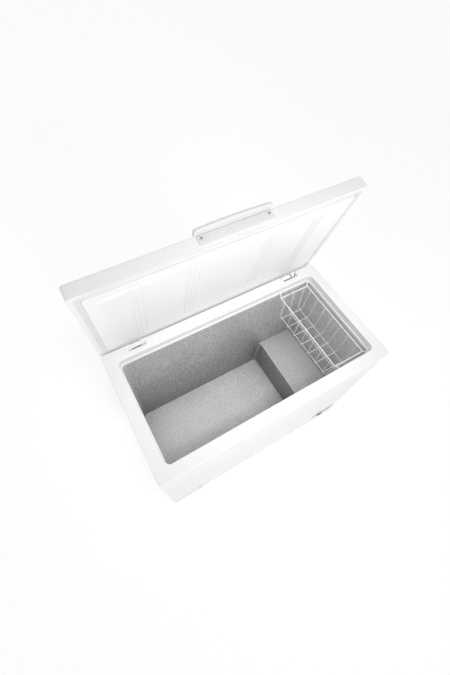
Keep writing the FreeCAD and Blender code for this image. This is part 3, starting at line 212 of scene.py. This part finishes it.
def stuccoAluminium():
    sheet = stuccoSheet
    material, shader = newMaterial("stuccoAluminium", {"Metallic": sheet["metallic"]})
    place = addNode(material, "ShaderNodeTexCoord").outputs["Object"]
    cells = addNode(material, "ShaderNodeTexVoronoi", {"feature": "SMOOTH_F1"}, {
        "Vector": place, "Scale": 1 / sheet["cell"], "Smoothness": 0.6, "Randomness": 1.0})
    blotch = addNode(material, "ShaderNodeTexNoise", inputs={
        "Vector": place, "Scale": 1 / sheet["cell"], "Detail": 2.0, "Roughness": 0.7}).outputs["Fac"]
    cloud = addNode(material, "ShaderNodeTexNoise", inputs={
        "Vector": place, "Scale": 1 / sheet["cloud"], "Detail": 2.0}).outputs["Fac"]
    tone = addNode(material, "ShaderNodeValToRGB", inputs={"Fac": blotch}, stops=sheet["blotchTones"])
    drift = addNode(material, "ShaderNodeValToRGB", inputs={"Fac": cloud}, stops=sheet["cloudTones"])
    height = addNode(material, "ShaderNodeSeparateXYZ", inputs={"Vector": place}).outputs["Z"]
    facing = addNode(material, "ShaderNodeNewGeometry").outputs["True Normal"]
    upward = addNode(material, "ShaderNodeSeparateXYZ", inputs={"Vector": facing}).outputs["Z"]
    # painted shade: darker towards the bottom of the walls, by height, its edge shifted by the blotches; faces
    # that look up keep at least the level limit, so the well floor stays nearly unshaded
    shadeHeight = addNode(material, "ShaderNodeMath", {"operation": "MULTIPLY_ADD"},
                       {0: blotch, 1: sheet["shadeSpeckle"], 2: height})
    paintedShade = addNode(material, "ShaderNodeMapRange", {"interpolation_type": "SMOOTHSTEP"}, {
        "Value": shadeHeight.outputs[0], "From Min": sheet["shadeLow"], "From Max": sheet["shadeHigh"],
        "To Min": sheet["shadeDarkest"], "To Max": 1.0})
    level = addNode(material, "ShaderNodeMath", {"operation": "MULTIPLY"},
                    {0: upward, 1: sheet["levelShadeLimit"]})
    clear = addNode(material, "ShaderNodeMath", {"operation": "MAXIMUM"},
                    {0: level.outputs[0], 1: paintedShade.outputs["Result"]})
    # sockets 6, 7 and 2 are the two colours and the result of a colour mix
    colour = addNode(material, "ShaderNodeMix", {"data_type": "RGBA", "blend_type": "MULTIPLY"},
                     {0: 1.0, 6: tone.outputs["Color"], 7: drift.outputs["Color"]})
    # the sheet's colour is multiplied by the painted shade
    shadedColour = addNode(material, "ShaderNodeMix", {"data_type": "RGBA", "blend_type": "MULTIPLY"},
                     {0: 1.0, 6: colour.outputs[2], 7: clear.outputs[0]})
    smoothest, roughest = sheet["roughness"]
    rough = addNode(material, "ShaderNodeMapRange", inputs={
        "Value": blotch, "From Min": 0.3, "From Max": 0.7, "To Min": smoothest, "To Max": roughest})
    relief = addNode(material, "ShaderNodeBump", inputs={
        "Height": cells.outputs["Distance"], "Distance": sheet["cellRelief"], "Strength": 1.0})
    fine = addNode(material, "ShaderNodeBump", inputs={
        "Height": blotch, "Distance": sheet["fineRelief"], "Normal": relief.outputs["Normal"]})
    links = material.node_tree.links
    links.new(shadedColour.outputs[2], shader.inputs["Base Color"])
    links.new(rough.outputs["Result"], shader.inputs["Roughness"])
    links.new(fine.outputs["Normal"], shader.inputs["Normal"])
    return material


# Hot dip galvanised sheet: dull grey with angular zinc spangles about 12 mm across.
galvanisedSheet = {"spangle": 12 * mm, "tones": [(0.2, "A9ABAD"), (0.8, "C6C8CA")],
                   "roughness": (0.38, 0.55)}


def galvanisedSteel():
    sheet = galvanisedSheet
    material, shader = newMaterial("galvanisedSteel", {"Metallic": 1.0})
    place = addNode(material, "ShaderNodeTexCoord").outputs["Object"]
    spangle = addNode(material, "ShaderNodeTexVoronoi", inputs={
        "Vector": place, "Scale": 1 / sheet["spangle"]})
    grey = addNode(material, "ShaderNodeRGBToBW", inputs={"Color": spangle.outputs["Color"]}).outputs["Val"]
    tone = addNode(material, "ShaderNodeValToRGB", inputs={"Fac": grey}, stops=sheet["tones"])
    smoothest, roughest = sheet["roughness"]
    rough = addNode(material, "ShaderNodeMapRange", inputs={
        "Value": grey, "To Min": smoothest, "To Max": roughest})
    links = material.node_tree.links
    links.new(tone.outputs["Color"], shader.inputs["Base Color"])
    links.new(rough.outputs["Result"], shader.inputs["Roughness"])
    return material


finishes = {name: plainFinish(name) for name in plainFinishes}
finishes.update(stuccoAluminium=stuccoAluminium(), galvanisedSteel=galvanisedSteel())
slotFinish = {
    "white_enamel": "whiteEnamel", "white_abs": "whiteAbs", "lid_liner_abs": "lidPolystyrene",
    "embossed_aluminium": "stuccoAluminium", "galvanised_steel": "galvanisedSteel",
    "zinc_steel": "zincPlate", "spring_steel": "springSteel", "black_enamel": "blackEnamel",
    "black_plastic": "blackPolypropylene", "black_rubber": "blackRubber", "coil_tube": "drawnAluminium",
    "copper_tube": "drawnCopper", "foam": "polyurethaneFoam", "white_plastic": "whitePolypropylene",
    "panel_plastic": "panelPolypropylene", "silver_fascia": "silverPolycarbonate", "lamp_lens": "greenLens",
    "knob_plastic": "darkGreyAbs", "rocker_plastic": "orangePolycarbonate",
    "gasket_vinyl": "gasketVinyl", "handle_abs": "handleAbs", "coated_wire": "polyethyleneCoat"}

for subpart in frame["record"]["subparts"]:
    node = nodes[subpart["node"]]
    node.data.materials.clear()
    node.data.materials.append(finishes[slotFinish[subpart["material_slot"]]])
print("stage: materials", len(finishes))


def meshPiece(name, points, faces, body, slot, stands, sharpAngle=35):
    # a mesh that rides on a body and stands in for CAD nodes; edges above the angle stay crisp
    mesh = bpy.data.meshes.new(name)
    mesh.from_pydata([tuple(point) for point in points], [], faces)
    bm = bmesh.new()
    bm.from_mesh(mesh)
    bmesh.ops.recalc_face_normals(bm, faces=bm.faces)
    bm.to_mesh(mesh)
    bm.free()
    mesh.polygons.foreach_set("use_smooth", [True] * len(mesh.polygons))
    mesh.set_sharp_from_angle(angle=math.radians(sharpAngle))
    mesh.materials.append(finishes[slotFinish[slot]])
    piece = bpy.data.objects.new(name, mesh)
    bpy.context.scene.collection.objects.link(piece)
    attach(piece, body)
    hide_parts(*stands)
    return piece


def strips(rows, rowLength, closedRows=False, closedAcross=True):
    # quads between neighbouring rows of points; each row may close on itself, and the rows may too
    faces = []
    for row in range(rows if closedRows else rows - 1):
        nextRow = (row + 1) % rows
        for step in range(rowLength if closedAcross else rowLength - 1):
            nextStep = (step + 1) % rowLength
            faces.append((row * rowLength + step, row * rowLength + nextStep,
                          nextRow * rowLength + nextStep, nextRow * rowLength + step))
    return faces


def cappedStrips(rows, rowLength, start):
    # a closed skin over rows of points that begin at a given index, with a face at each end
    faces = [tuple(start + corner for corner in face) for face in strips(rows, rowLength)]
    faces.append(tuple(start + step for step in range(rowLength)))
    faces.append(tuple(start + (rows - 1) * rowLength + step for step in range(rowLength)))
    return faces


def roundedLoop(x0, x1, y0, y1, z, radius, steps=8):
    # counter-clockwise points of a level rectangle with round corners
    loop = []
    for cx, cy, start in ((x1 - radius, y1 - radius, 0), (x0 + radius, y1 - radius, 90),
                          (x0 + radius, y0 + radius, 180), (x1 - radius, y0 + radius, 270)):
        for step in range(steps + 1):
            angle = math.radians(start + 90 * step / steps)
            loop.append(Vector((cx + radius * math.cos(angle), cy + radius * math.sin(angle), z)))
    return loop


def roundedPath(points, bend, steps=7):
    # straight runs joined by round bends
    points = [Vector(point) for point in points]
    path = [points[0]]
    for before, here, after in zip(points, points[1:], points[2:]):
        back = (before - here).normalized()
        on = (after - here).normalized()
        half = back.angle(on) / 2
        reach = bend / math.tan(half)
        centre = here + (back + on).normalized() * (bend / math.sin(half))
        start = (here + back * reach - centre).normalized()
        end = (here + on * reach - centre).normalized()
        for step in range(steps + 1):
            path.append(centre + start.slerp(end, step / steps) * bend)
    path.append(points[-1])
    return path


def tubeRows(path, radius, sides, domed):
    # rings of points round a path, turned as little as possible from one to the next
    tangents = []
    for index in range(len(path)):
        ahead = path[min(index + 1, len(path) - 1)]
        behind = path[max(index - 1, 0)]
        tangents.append((ahead - behind).normalized())
    dome = [(0, 1), (0.35, 0.75), (0.5, 0.35)]  # how far out and how wide each ring of a dome is, in radii
    across = tangents[0].orthogonal().normalized()
    rings = []
    for index, (centre, tangent) in enumerate(zip(path, tangents)):
        across = (across - tangent * across.dot(tangent)).normalized()
        up = tangent.cross(across)
        sizes = [(0, radius)]
        if domed and index == 0:
            sizes = [(-out * radius, wide * radius) for out, wide in reversed(dome)]
        if domed and index == len(path) - 1:
            sizes = [(out * radius, wide * radius) for out, wide in dome]
        for along, size in sizes:
            rings.append([centre + tangent * along + (across * math.cos(turn) + up * math.sin(turn)) * size
                          for turn in (2 * math.pi * side / sides for side in range(sides))])
    return rings


def tubes(name, paths, radius, body, slot, stands, sides, domed=True):
    # several separate rods in one piece
    points, faces = [], []
    for path in paths:
        rings = tubeRows(path, radius, sides, domed)
        faces += cappedStrips(len(rings), sides, len(points))
        for ring in rings:
            points += ring
    return meshPiece(name, points, faces, body, slot, stands)


# The lid's thermoformed liner. Its hem, gasket trough and plate edge are loops from the outside inwards:
# inset from the lid's edge, level above the plate, and corner radius, in mm.
linerShape = {
    "hem": [(3, 1.0, 9), (10, 1.0, 8)],
    "trough": [(18, 1.0, 6), (18.8, 1.4, 5.5), (19, 2.2, 5), (19.2, 8.2, 5), (20, 8.6, 5),
               (35.6, 8.6, 9), (36.4, 8.2, 10), (36.8, 1.2, 13)],
    "plateEdge": [(37.4, 0.3, 14), (38.6, 0.0, 14)],
    "rearExtra": 4 * mm,  # the trough and all inside it stay this much further from the hinges
    "plateInset": 60 * mm, "plateRearExtra": 10 * mm,
    "fieldInset": 70 * mm, "fieldRear": 80 * mm, "fieldCorner": 22 * mm, "fieldRise": 4.5 * mm,
    "fieldSlope": 9 * mm, "flutes": (154 * mm, 363 * mm), "flutePitch": 20 * mm, "fluteHalf": 7 * mm,
    "sheet": 0.9 * mm,
    # the grid is fine at the flutes and at the field's edge, from just outside its slope to well inside
    "fineAcross": 1.75 * mm, "fineAlong": 2 * mm, "coarse": 14 * mm,
    "fineOutside": 2 * mm, "fineInside": 26 * mm, "fluteMargin": 1 * mm,
}


def smooth(t):
    t = min(1.0, max(0.0, t))
    return t * t * (3 - 2 * t)


def fieldHeight(x, y, halfX, lowY, highY, shape):
    # how far the raised field stands out of the liner at one point
    corner = shape["fieldCorner"]
    midY, halfY = (lowY + highY) / 2, (highY - lowY) / 2
    dx = abs(x) - (halfX - corner)
    dy = abs(y - midY) - (halfY - corner)
    outside = math.hypot(max(dx, 0), max(dy, 0)) + min(max(dx, dy), 0) - corner
    rise = smooth(-outside / shape["fieldSlope"])
    for offset in shape["flutes"]:
        for step in (-1, 0, 1):
            gap = abs(abs(x) - offset - step * shape["flutePitch"]) / shape["fluteHalf"]
            if gap < 1:
                rise *= smooth(gap)
    return shape["fieldRise"] * rise


def spacedLines(low, high, fineSpans, fine, coarse):
    # grid lines that are close together inside the given spans and further apart elsewhere
    nearly = 1e-6
    lines = [low]
    while lines[-1] < high - nearly:
        here = lines[-1]
        inFine = any(start - nearly <= here < end - nearly for start, end in fineSpans)
        ahead = [start for start, end in fineSpans if start > here + nearly]
        following = here + (fine if inFine else coarse)
        if not inFine and ahead:
            following = min(following, min(ahead))
        lines.append(min(following, high))
    return lines


def linerPlate(low, high, shape):
    # the flat plate with its raised field, as rows of a grid
    halfX = high.x - shape["fieldInset"]
    lowY, highY = low.y + shape["fieldInset"], high.y - shape["fieldRear"]
    before, after = shape["fineOutside"], shape["fineInside"]
    spans = [(-halfX - before, -halfX + after), (halfX - after, halfX + before)]
    reach = shape["flutePitch"] + shape["fluteHalf"] + shape["fluteMargin"]
    for offset in shape["flutes"]:
        spans += [(offset - reach, offset + reach), (-offset - reach, -offset + reach)]
    flat = shape["plateInset"]
    xs = spacedLines(low.x + flat, high.x - flat, sorted(spans), shape["fineAcross"], shape["coarse"])
    ys = spacedLines(low.y + flat, high.y - flat - shape["plateRearExtra"],
                     [(lowY - before, lowY + after), (highY - after, highY + before)],
                     shape["fineAlong"], shape["coarse"])
    return [[Vector((x, y, low.z - fieldHeight(x, y, halfX, lowY, highY, shape))) for x in xs] for y in ys]


def makeLidLiner():
    shape = linerShape
    low, high = closedBox("lid_skin")
    loops = []
    for part in ("hem", "trough", "plateEdge"):
        back = 0 if part == "hem" else shape["rearExtra"]
        for inset, level, corner in shape[part]:
            reach = inset * mm
            loops.append(roundedLoop(low.x + reach, high.x - reach, low.y + reach, high.y - reach - back,
                                     low.z + level * mm, corner * mm))
    points = [point for loop in loops for point in loop]
    faces = strips(len(loops), len(loops[0]))
    rows = linerPlate(low, high, shape)
    faces += [tuple(len(points) + corner for corner in face)
              for face in strips(len(rows), len(rows[0]), closedAcross=False)]
    points += [point for row in rows for point in row]
    # the plate's outline is joined to the last loop by a flat fill
    mesh = bpy.data.meshes.new("plateJoin")
    mesh.from_pydata([tuple(point) for point in points], [], faces)
    bm = bmesh.new()
    bm.from_mesh(mesh)
    nearly = 1e-6
    rimEdges = [edge for edge in bm.edges if edge.is_boundary
                and all(abs(vertex.co.z - low.z) < nearly for vertex in edge.verts)]
    bmesh.ops.triangle_fill(bm, use_beauty=True, edges=rimEdges)
    bm.transform(openLid)
    bm.verts.ensure_lookup_table()
    points = [vertex.co.copy() for vertex in bm.verts]
    faces = [tuple(vertex.index for vertex in face.verts) for face in bm.faces]
    bm.free()
    bpy.data.meshes.remove(mesh)
    piece = meshPiece("lid_liner_formed", points, faces, "lid", "lid_liner_abs", ["lid_liner"],
                      sharpAngle=50)
    thick = piece.modifiers.new("sheet", "SOLIDIFY")
    thick.thickness = shape["sheet"]
    thick.offset = -1


makeLidLiner()
print("stage: lid liner")


# Lid gasket: a soft strip with a magnet in its nose and a bellows behind it. Its section runs from the
# root round the nose and back, in mm: across from the outer edge, and up from the sealing face.
gasketShape = {
    "outerRoot": [(2.0, 10.6), (2.0, 5.4), (0.4, 3.9)],
    "outerLip": [(-1.6, 3.4), (-2.2, 2.6), (-2.0, 1.4), (-1.2, 0.5)],
    "sealingFace": [(0.2, 0.05), (4.2, 0.0), (5.0, 0.4), (6.0, 0.4), (6.8, 0.0), (11.2, 0.0)],
    "innerLip": [(13.0, 0.3), (15.4, 1.2), (16.4, 2.2), (16.1, 2.9), (13.0, 3.2)],
    "bellows": [(12.2, 3.8), (13.2, 4.6), (13.2, 5.6), (11.8, 6.4), (11.8, 10.6)],
    "corner": 6, "cornerTaper": 0.3,  # the corners tighten inwards, by this much for each mm across
    "cornerSteps": 6,
}


def makeGasket():
    shape = gasketShape
    low, high = closedBox("lid_gasket")
    loops = []
    for part in ("outerRoot", "outerLip", "sealingFace", "innerLip", "bellows"):
        for across, up in shape[part]:
            reach = across * mm
            corner = (shape["corner"] - across * shape["cornerTaper"]) * mm
            loops.append(roundedLoop(low.x + reach, high.x - reach, low.y + reach, high.y - reach,
                                     low.z + up * mm, corner, shape["cornerSteps"]))
    points = [openLid @ point for loop in loops for point in loop]
    faces = strips(len(loops), len(loops[0]), closedRows=True)
    meshPiece("lid_gasket_strip", points, faces, "lid", "gasket_vinyl", ["lid_gasket"], sharpAngle=50)


makeGasket()
print("stage: gasket")


# Lid handle: a plate on the lid's front edge and a thick bowed grip above it, with a shadow groove
# between the two and a tongue that joins them behind the groove.
handleShape = {
    "plateHalf": 141 * mm, "plateTall": 36 * mm, "plateCorner": 6 * mm, "plate": 3.5 * mm,
    "plateEdge": [(0, 3.5), (0, 0.9), (0.25, 0.3), (0.9, 0)],  # inset, and depth below its face, in mm
    "endReach": 25 * mm, "reach": 32.8 * mm, "corner": 10 * mm, "edge": 5 * mm, "endEdge": 4.5 * mm,
    "thick": 14 * mm, "groove": 1.3 * mm, "tongue": 1 * mm, "tongueTip": 0.05 * mm,
    # where the grip is cut: close together at its round ends, in mm from each end, then evenly
    "endStations": [0, 0.4, 1.2, 2.5, 4, 5.5, 7.5, 10], "evenFrom": 14 * mm, "evenSteps": 60, "edgeSteps": 6,
}


def roundedOff(radius, run):
    # how far a round corner has drawn in at this run from its end
    return radius - math.sqrt(max(0.0, radius ** 2 - max(0.0, radius - run) ** 2))


def handlePlate(middle, top, front, shape):
    # loops of a rounded plate, from the lid outwards, with its front edge softened
    half, corner = shape["plateHalf"], shape["plateCorner"]
    bottom = top - shape["plateTall"]
    loops = []
    for insetMm, depthMm in shape["plateEdge"]:
        inset, out = insetMm * mm, shape["plate"] - depthMm * mm
        flat = roundedLoop(middle - half + inset, middle + half - inset, bottom + inset, top - inset, 0,
                           corner - inset)
        loops.append([Vector((point.x, front - out, point.y)) for point in flat])
    return loops


def gripSection(reach, low, high, tongueZ, shape):
    # from the tongue behind the groove out under the grip, round its nose and back along its top
    tongue, steps = shape["tongue"], shape["edgeSteps"]
    bend = min(shape["edge"], (high - low) / 2)
    section = [(0, tongueZ), (tongue, tongueZ), (tongue, low), (reach * 0.3, low), (reach * 0.6, low)]
    for z, start in ((low + bend, -90), (high - bend, 0)):
        for step in range(steps + 1):
            turn = math.radians(start + 90 * step / steps)
            section.append((reach - bend + bend * math.cos(turn), z + bend * math.sin(turn)))
    section += [(reach * 0.5, high), (0, high)]
    return section


def makeHandle():
    shape = handleShape
    low, high = closedBox("lid_handle")
    middle, half = (low.x + high.x) / 2, (high.x - low.x) / 2
    front = closedBox("lid_skin")[0].y
    under = high.z - shape["thick"]
    loops = handlePlate(middle, under - shape["groove"], front, shape)
    points = [point for loop in loops for point in loop]
    faces = cappedStrips(len(loops), len(loops[0]), 0)
    # the grip bows outwards on an arc between its two ends
    sag = shape["reach"] - shape["endReach"]
    radius = (half ** 2 + sag ** 2) / (2 * sag)
    inner, steps = half - shape["evenFrom"], shape["evenSteps"]
    stations = [-half + end * mm for end in shape["endStations"]]
    stations += [-inner + 2 * inner * step / steps for step in range(steps + 1)]
    stations += [half - end * mm for end in reversed(shape["endStations"])]
    grip = []
    for x in stations:
        run = half - abs(x)
        bow = shape["endReach"] + math.sqrt(radius ** 2 - x ** 2) - (radius - sag)
        reach = bow - roundedOff(shape["corner"], run)
        inset = roundedOff(shape["endEdge"], run)
        onPlate = abs(x) < shape["plateHalf"] - shape["plateCorner"]
        tongueZ = under - 2 * shape["groove"] if onPlate else under + inset - shape["tongueTip"]
        section = gripSection(reach, under + inset, high.z - inset, tongueZ, shape)
        grip += [Vector((middle + x, front - out, z)) for out, z in section]
    faces += cappedStrips(len(stations), len(section), len(points))
    points = [openLid @ point for point in points + grip]
    meshPiece("lid_handle_grip", points, faces, "lid", "handle_abs", ["lid_handle"], sharpAngle=40)


makeHandle()
print("stage: handle")


# Wire basket: two side bars with hook ends, two end bars, and lighter wires bent up at their ends.
basketShape = {
    "ringRadius": 2.5 * mm, "gridRadius": 1.5 * mm, "ringBend": 7 * mm, "gridBend": 14 * mm,
    "ringSides": 16, "gridSides": 12,
    "sideTaper": 9 * mm, "endTaper": 18 * mm, "crossCount": 7, "longCount": 3,
    "hookRun": 9.5 * mm, "hookLean": 1 * mm,  # how far each hook lies on the ledge, and how far it leans
    "weld": 0.3 * mm,  # how far crossing wires are pressed into each other
}


def makeBasket():
    shape = basketShape
    ring, grid = shape["ringRadius"], shape["gridRadius"]
    run, lean, weld = shape["hookRun"], shape["hookLean"], shape["weld"]
    sideLow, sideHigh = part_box("basket_side_bars")
    endLow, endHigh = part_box("basket_end_bars")
    crossLow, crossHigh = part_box("basket_cross_wires")
    longLow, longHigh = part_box("basket_long_wires")
    x0, x1 = sideLow.x + ring, sideHigh.x - ring
    hookFront, hookBack = sideLow.y, sideHigh.y
    hookZ = sideHigh.z - ring
    ringZ = (endLow.z + endHigh.z) / 2
    frontBar, backBar = endLow.y + ring, endHigh.y - ring
    floorZ = crossLow.z + grid
    sides = [roundedPath([(x, hookFront, hookZ), (x, hookFront + run, hookZ), (x, frontBar - lean, ringZ),
                          (x, backBar + lean, ringZ), (x, hookBack - run, hookZ), (x, hookBack, hookZ)],
                         shape["ringBend"]) for x in (x0, x1)]
    tubes("basket_sides", sides, ring, "basket", "coated_wire", ["basket_side_bars"], shape["ringSides"],
          domed=False)
    ends = [[Vector((x0, y, ringZ)), Vector((x1, y, ringZ))] for y in (frontBar, backBar)]
    tubes("basket_ends", ends, ring, "basket", "coated_wire", ["basket_end_bars"], shape["ringSides"])
    first, last = crossLow.y + grid, crossHigh.y - grid
    inside = ring + grid - weld
    taper = shape["sideTaper"]
    cross = []
    for index in range(shape["crossCount"]):
        y = first + (last - first) * index / (shape["crossCount"] - 1)
        cross.append(roundedPath([(x0 + inside, y, ringZ), (x0 + taper, y, floorZ), (x1 - taper, y, floorZ),
                                  (x1 - inside, y, ringZ)], shape["gridBend"]))
    tubes("basket_cross", cross, grid, "basket", "coated_wire", ["basket_cross_wires"], shape["gridSides"])
    left, right = longLow.x + grid, longHigh.x - grid
    longZ = floorZ + 2 * grid - weld
    taper = shape["endTaper"]
    along = []
    for index in range(shape["longCount"]):
        x = left + (right - left) * index / (shape["longCount"] - 1)
        along.append(roundedPath([(x, frontBar + inside, ringZ), (x, frontBar - lean + taper, longZ),
                                  (x, backBar + lean - taper, longZ), (x, backBar - inside, ringZ)],
                                 shape["gridBend"]))
    tubes("basket_along", along, grid, "basket", "coated_wire", ["basket_long_wires"], shape["gridSides"])


makeBasket()
print("stage: basket")


# Hinge springs: a close wound coil round each pin.
springShape = {"wire": 1.35 * mm, "pitch": 3.1 * mm, "steps": 20, "sides": 8}


def makeSprings():
    shape = springShape
    for word in ("left", "right"):
        node = "hinge_spring_" + word
        low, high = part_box(node)
        centreY, centreZ = (low.y + high.y) / 2, (low.z + high.z) / 2
        radius = (high.z - low.z) / 2 - shape["wire"]
        length = high.x - low.x - 2 * shape["wire"]
        turns = length / shape["pitch"]
        count = int(turns * shape["steps"])
        path = []
        for step in range(count + 1):
            angle = 2 * math.pi * turns * step / count
            path.append(Vector((low.x + shape["wire"] + length * step / count,
                                centreY + radius * math.cos(angle), centreZ + radius * math.sin(angle))))
        tubes(node + "_coil", [path], shape["wire"], "cabinet", "spring_steel", [node], shape["sides"],
              domed=False)


makeSprings()
print("stage: springs")


# Seamless paper that glows a little, so that it washes out to white.
paper = {"reach": 14.0, "fibre": 25 * mm, "tones": [(0.3, "FBFBFB"), (0.7, "FFFFFF")], "glow": 0.33}


def makeFloor():
    material, shader = newMaterial("seamlessPaper", {"Roughness": 0.9, "IOR": 1.3})
    place = addNode(material, "ShaderNodeTexCoord").outputs["Object"]
    fibre = addNode(material, "ShaderNodeTexNoise", inputs={"Vector": place, "Scale": 1 / paper["fibre"]})
    tone = addNode(material, "ShaderNodeValToRGB", inputs={"Fac": fibre.outputs["Fac"]},
                   stops=paper["tones"])
    material.node_tree.links.new(tone.outputs["Color"], shader.inputs["Base Color"])
    shader.inputs["Emission Color"].default_value = (1, 1, 1, 1)
    shader.inputs["Emission Strength"].default_value = paper["glow"]
    mesh = bpy.data.meshes.new("studioFloor")
    reach = paper["reach"]
    mesh.from_pydata([(-reach, -reach, 0), (reach, -reach, 0), (reach, reach, 0), (-reach, reach, 0)], [],
                     [(0, 1, 2, 3)])
    mesh.materials.append(material)
    floor = bpy.data.objects.new("studioFloor", mesh)
    bpy.context.scene.collection.objects.link(floor)


# A white sky and three soft boxes: one high on the right, one that faces the open lid, and one that
# reaches over the front rim into the well. Power is in watts and spread in degrees.
studioSky = 0.64
softBoxes = {
    "rightKey": {"place": (1.3, -0.9, 3.1), "target": (0.1, 0, 0.5), "size": (1.6, 1.4),
                 "power": 2.9, "spread": 120},
    "lidFill": {"place": (0.1, -1.5, 1.8), "target": (0.03, 0.28, 1.16), "size": (1.6, 0.5),
                "power": 2.5, "spread": 60},
    "wellLight": {"place": (0.0, -0.7, 2.7), "target": (0, 0.15, 0.35), "size": (0.9, 0.25),
                  "power": 1.05, "spread": 40},
}


def makeStudio():
    world = bpy.data.worlds.new("studio")
    world.use_nodes = True
    sky = world.node_tree.nodes["Background"]
    sky.inputs["Color"].default_value = (1, 1, 1, 1)
    sky.inputs["Strength"].default_value = studioSky
    bpy.context.scene.world = world
    bpy.context.scene.view_settings.view_transform = "Standard"
    for name, box in softBoxes.items():
        light = bpy.data.lights.new(name, "AREA")
        light.shape = "RECTANGLE"
        light.size, light.size_y = box["size"]
        light.energy = box["power"]
        light.spread = math.radians(box["spread"])
        lamp = bpy.data.objects.new(name, light)
        lamp.location = box["place"]
        aim = Vector(box["target"]) - Vector(box["place"])
        lamp.rotation_euler = aim.to_track_quat("-Z", "Y").to_euler()
        bpy.context.scene.collection.objects.link(lamp)


# High over the freezer's front left corner, looking down into the well, turned a little clockwise.
cameraView = {"place": (-0.4935, -0.4797, 2.1152), "azimuth": 36.072, "elevation": 60.249, "roll": 6.849,
              "lens": 18.30, "filmWidth": 36}


def makeCamera():
    azimuth, elevation, roll = (math.radians(cameraView[turn]) for turn in ("azimuth", "elevation", "roll"))
    forward = Vector((math.cos(elevation) * math.sin(azimuth), math.cos(elevation) * math.cos(azimuth),
                      -math.sin(elevation)))
    right = forward.cross(Vector((0, 0, 1))).normalized()
    up = right.cross(forward)
    across = right * math.cos(roll) + up * math.sin(roll)
    upward = up * math.cos(roll) - right * math.sin(roll)
    camera = bpy.data.objects.new("camera", bpy.data.cameras.new("camera"))
    camera.matrix_world = Matrix.Translation(cameraView["place"]) @ Matrix(
        (across, upward, -forward)).transposed().to_4x4()
    camera.data.lens = cameraView["lens"]
    camera.data.sensor_width = cameraView["filmWidth"]
    bpy.context.scene.collection.objects.link(camera)
    bpy.context.scene.camera = camera


makeFloor()
makeStudio()
makeCamera()
print("stage: studio")
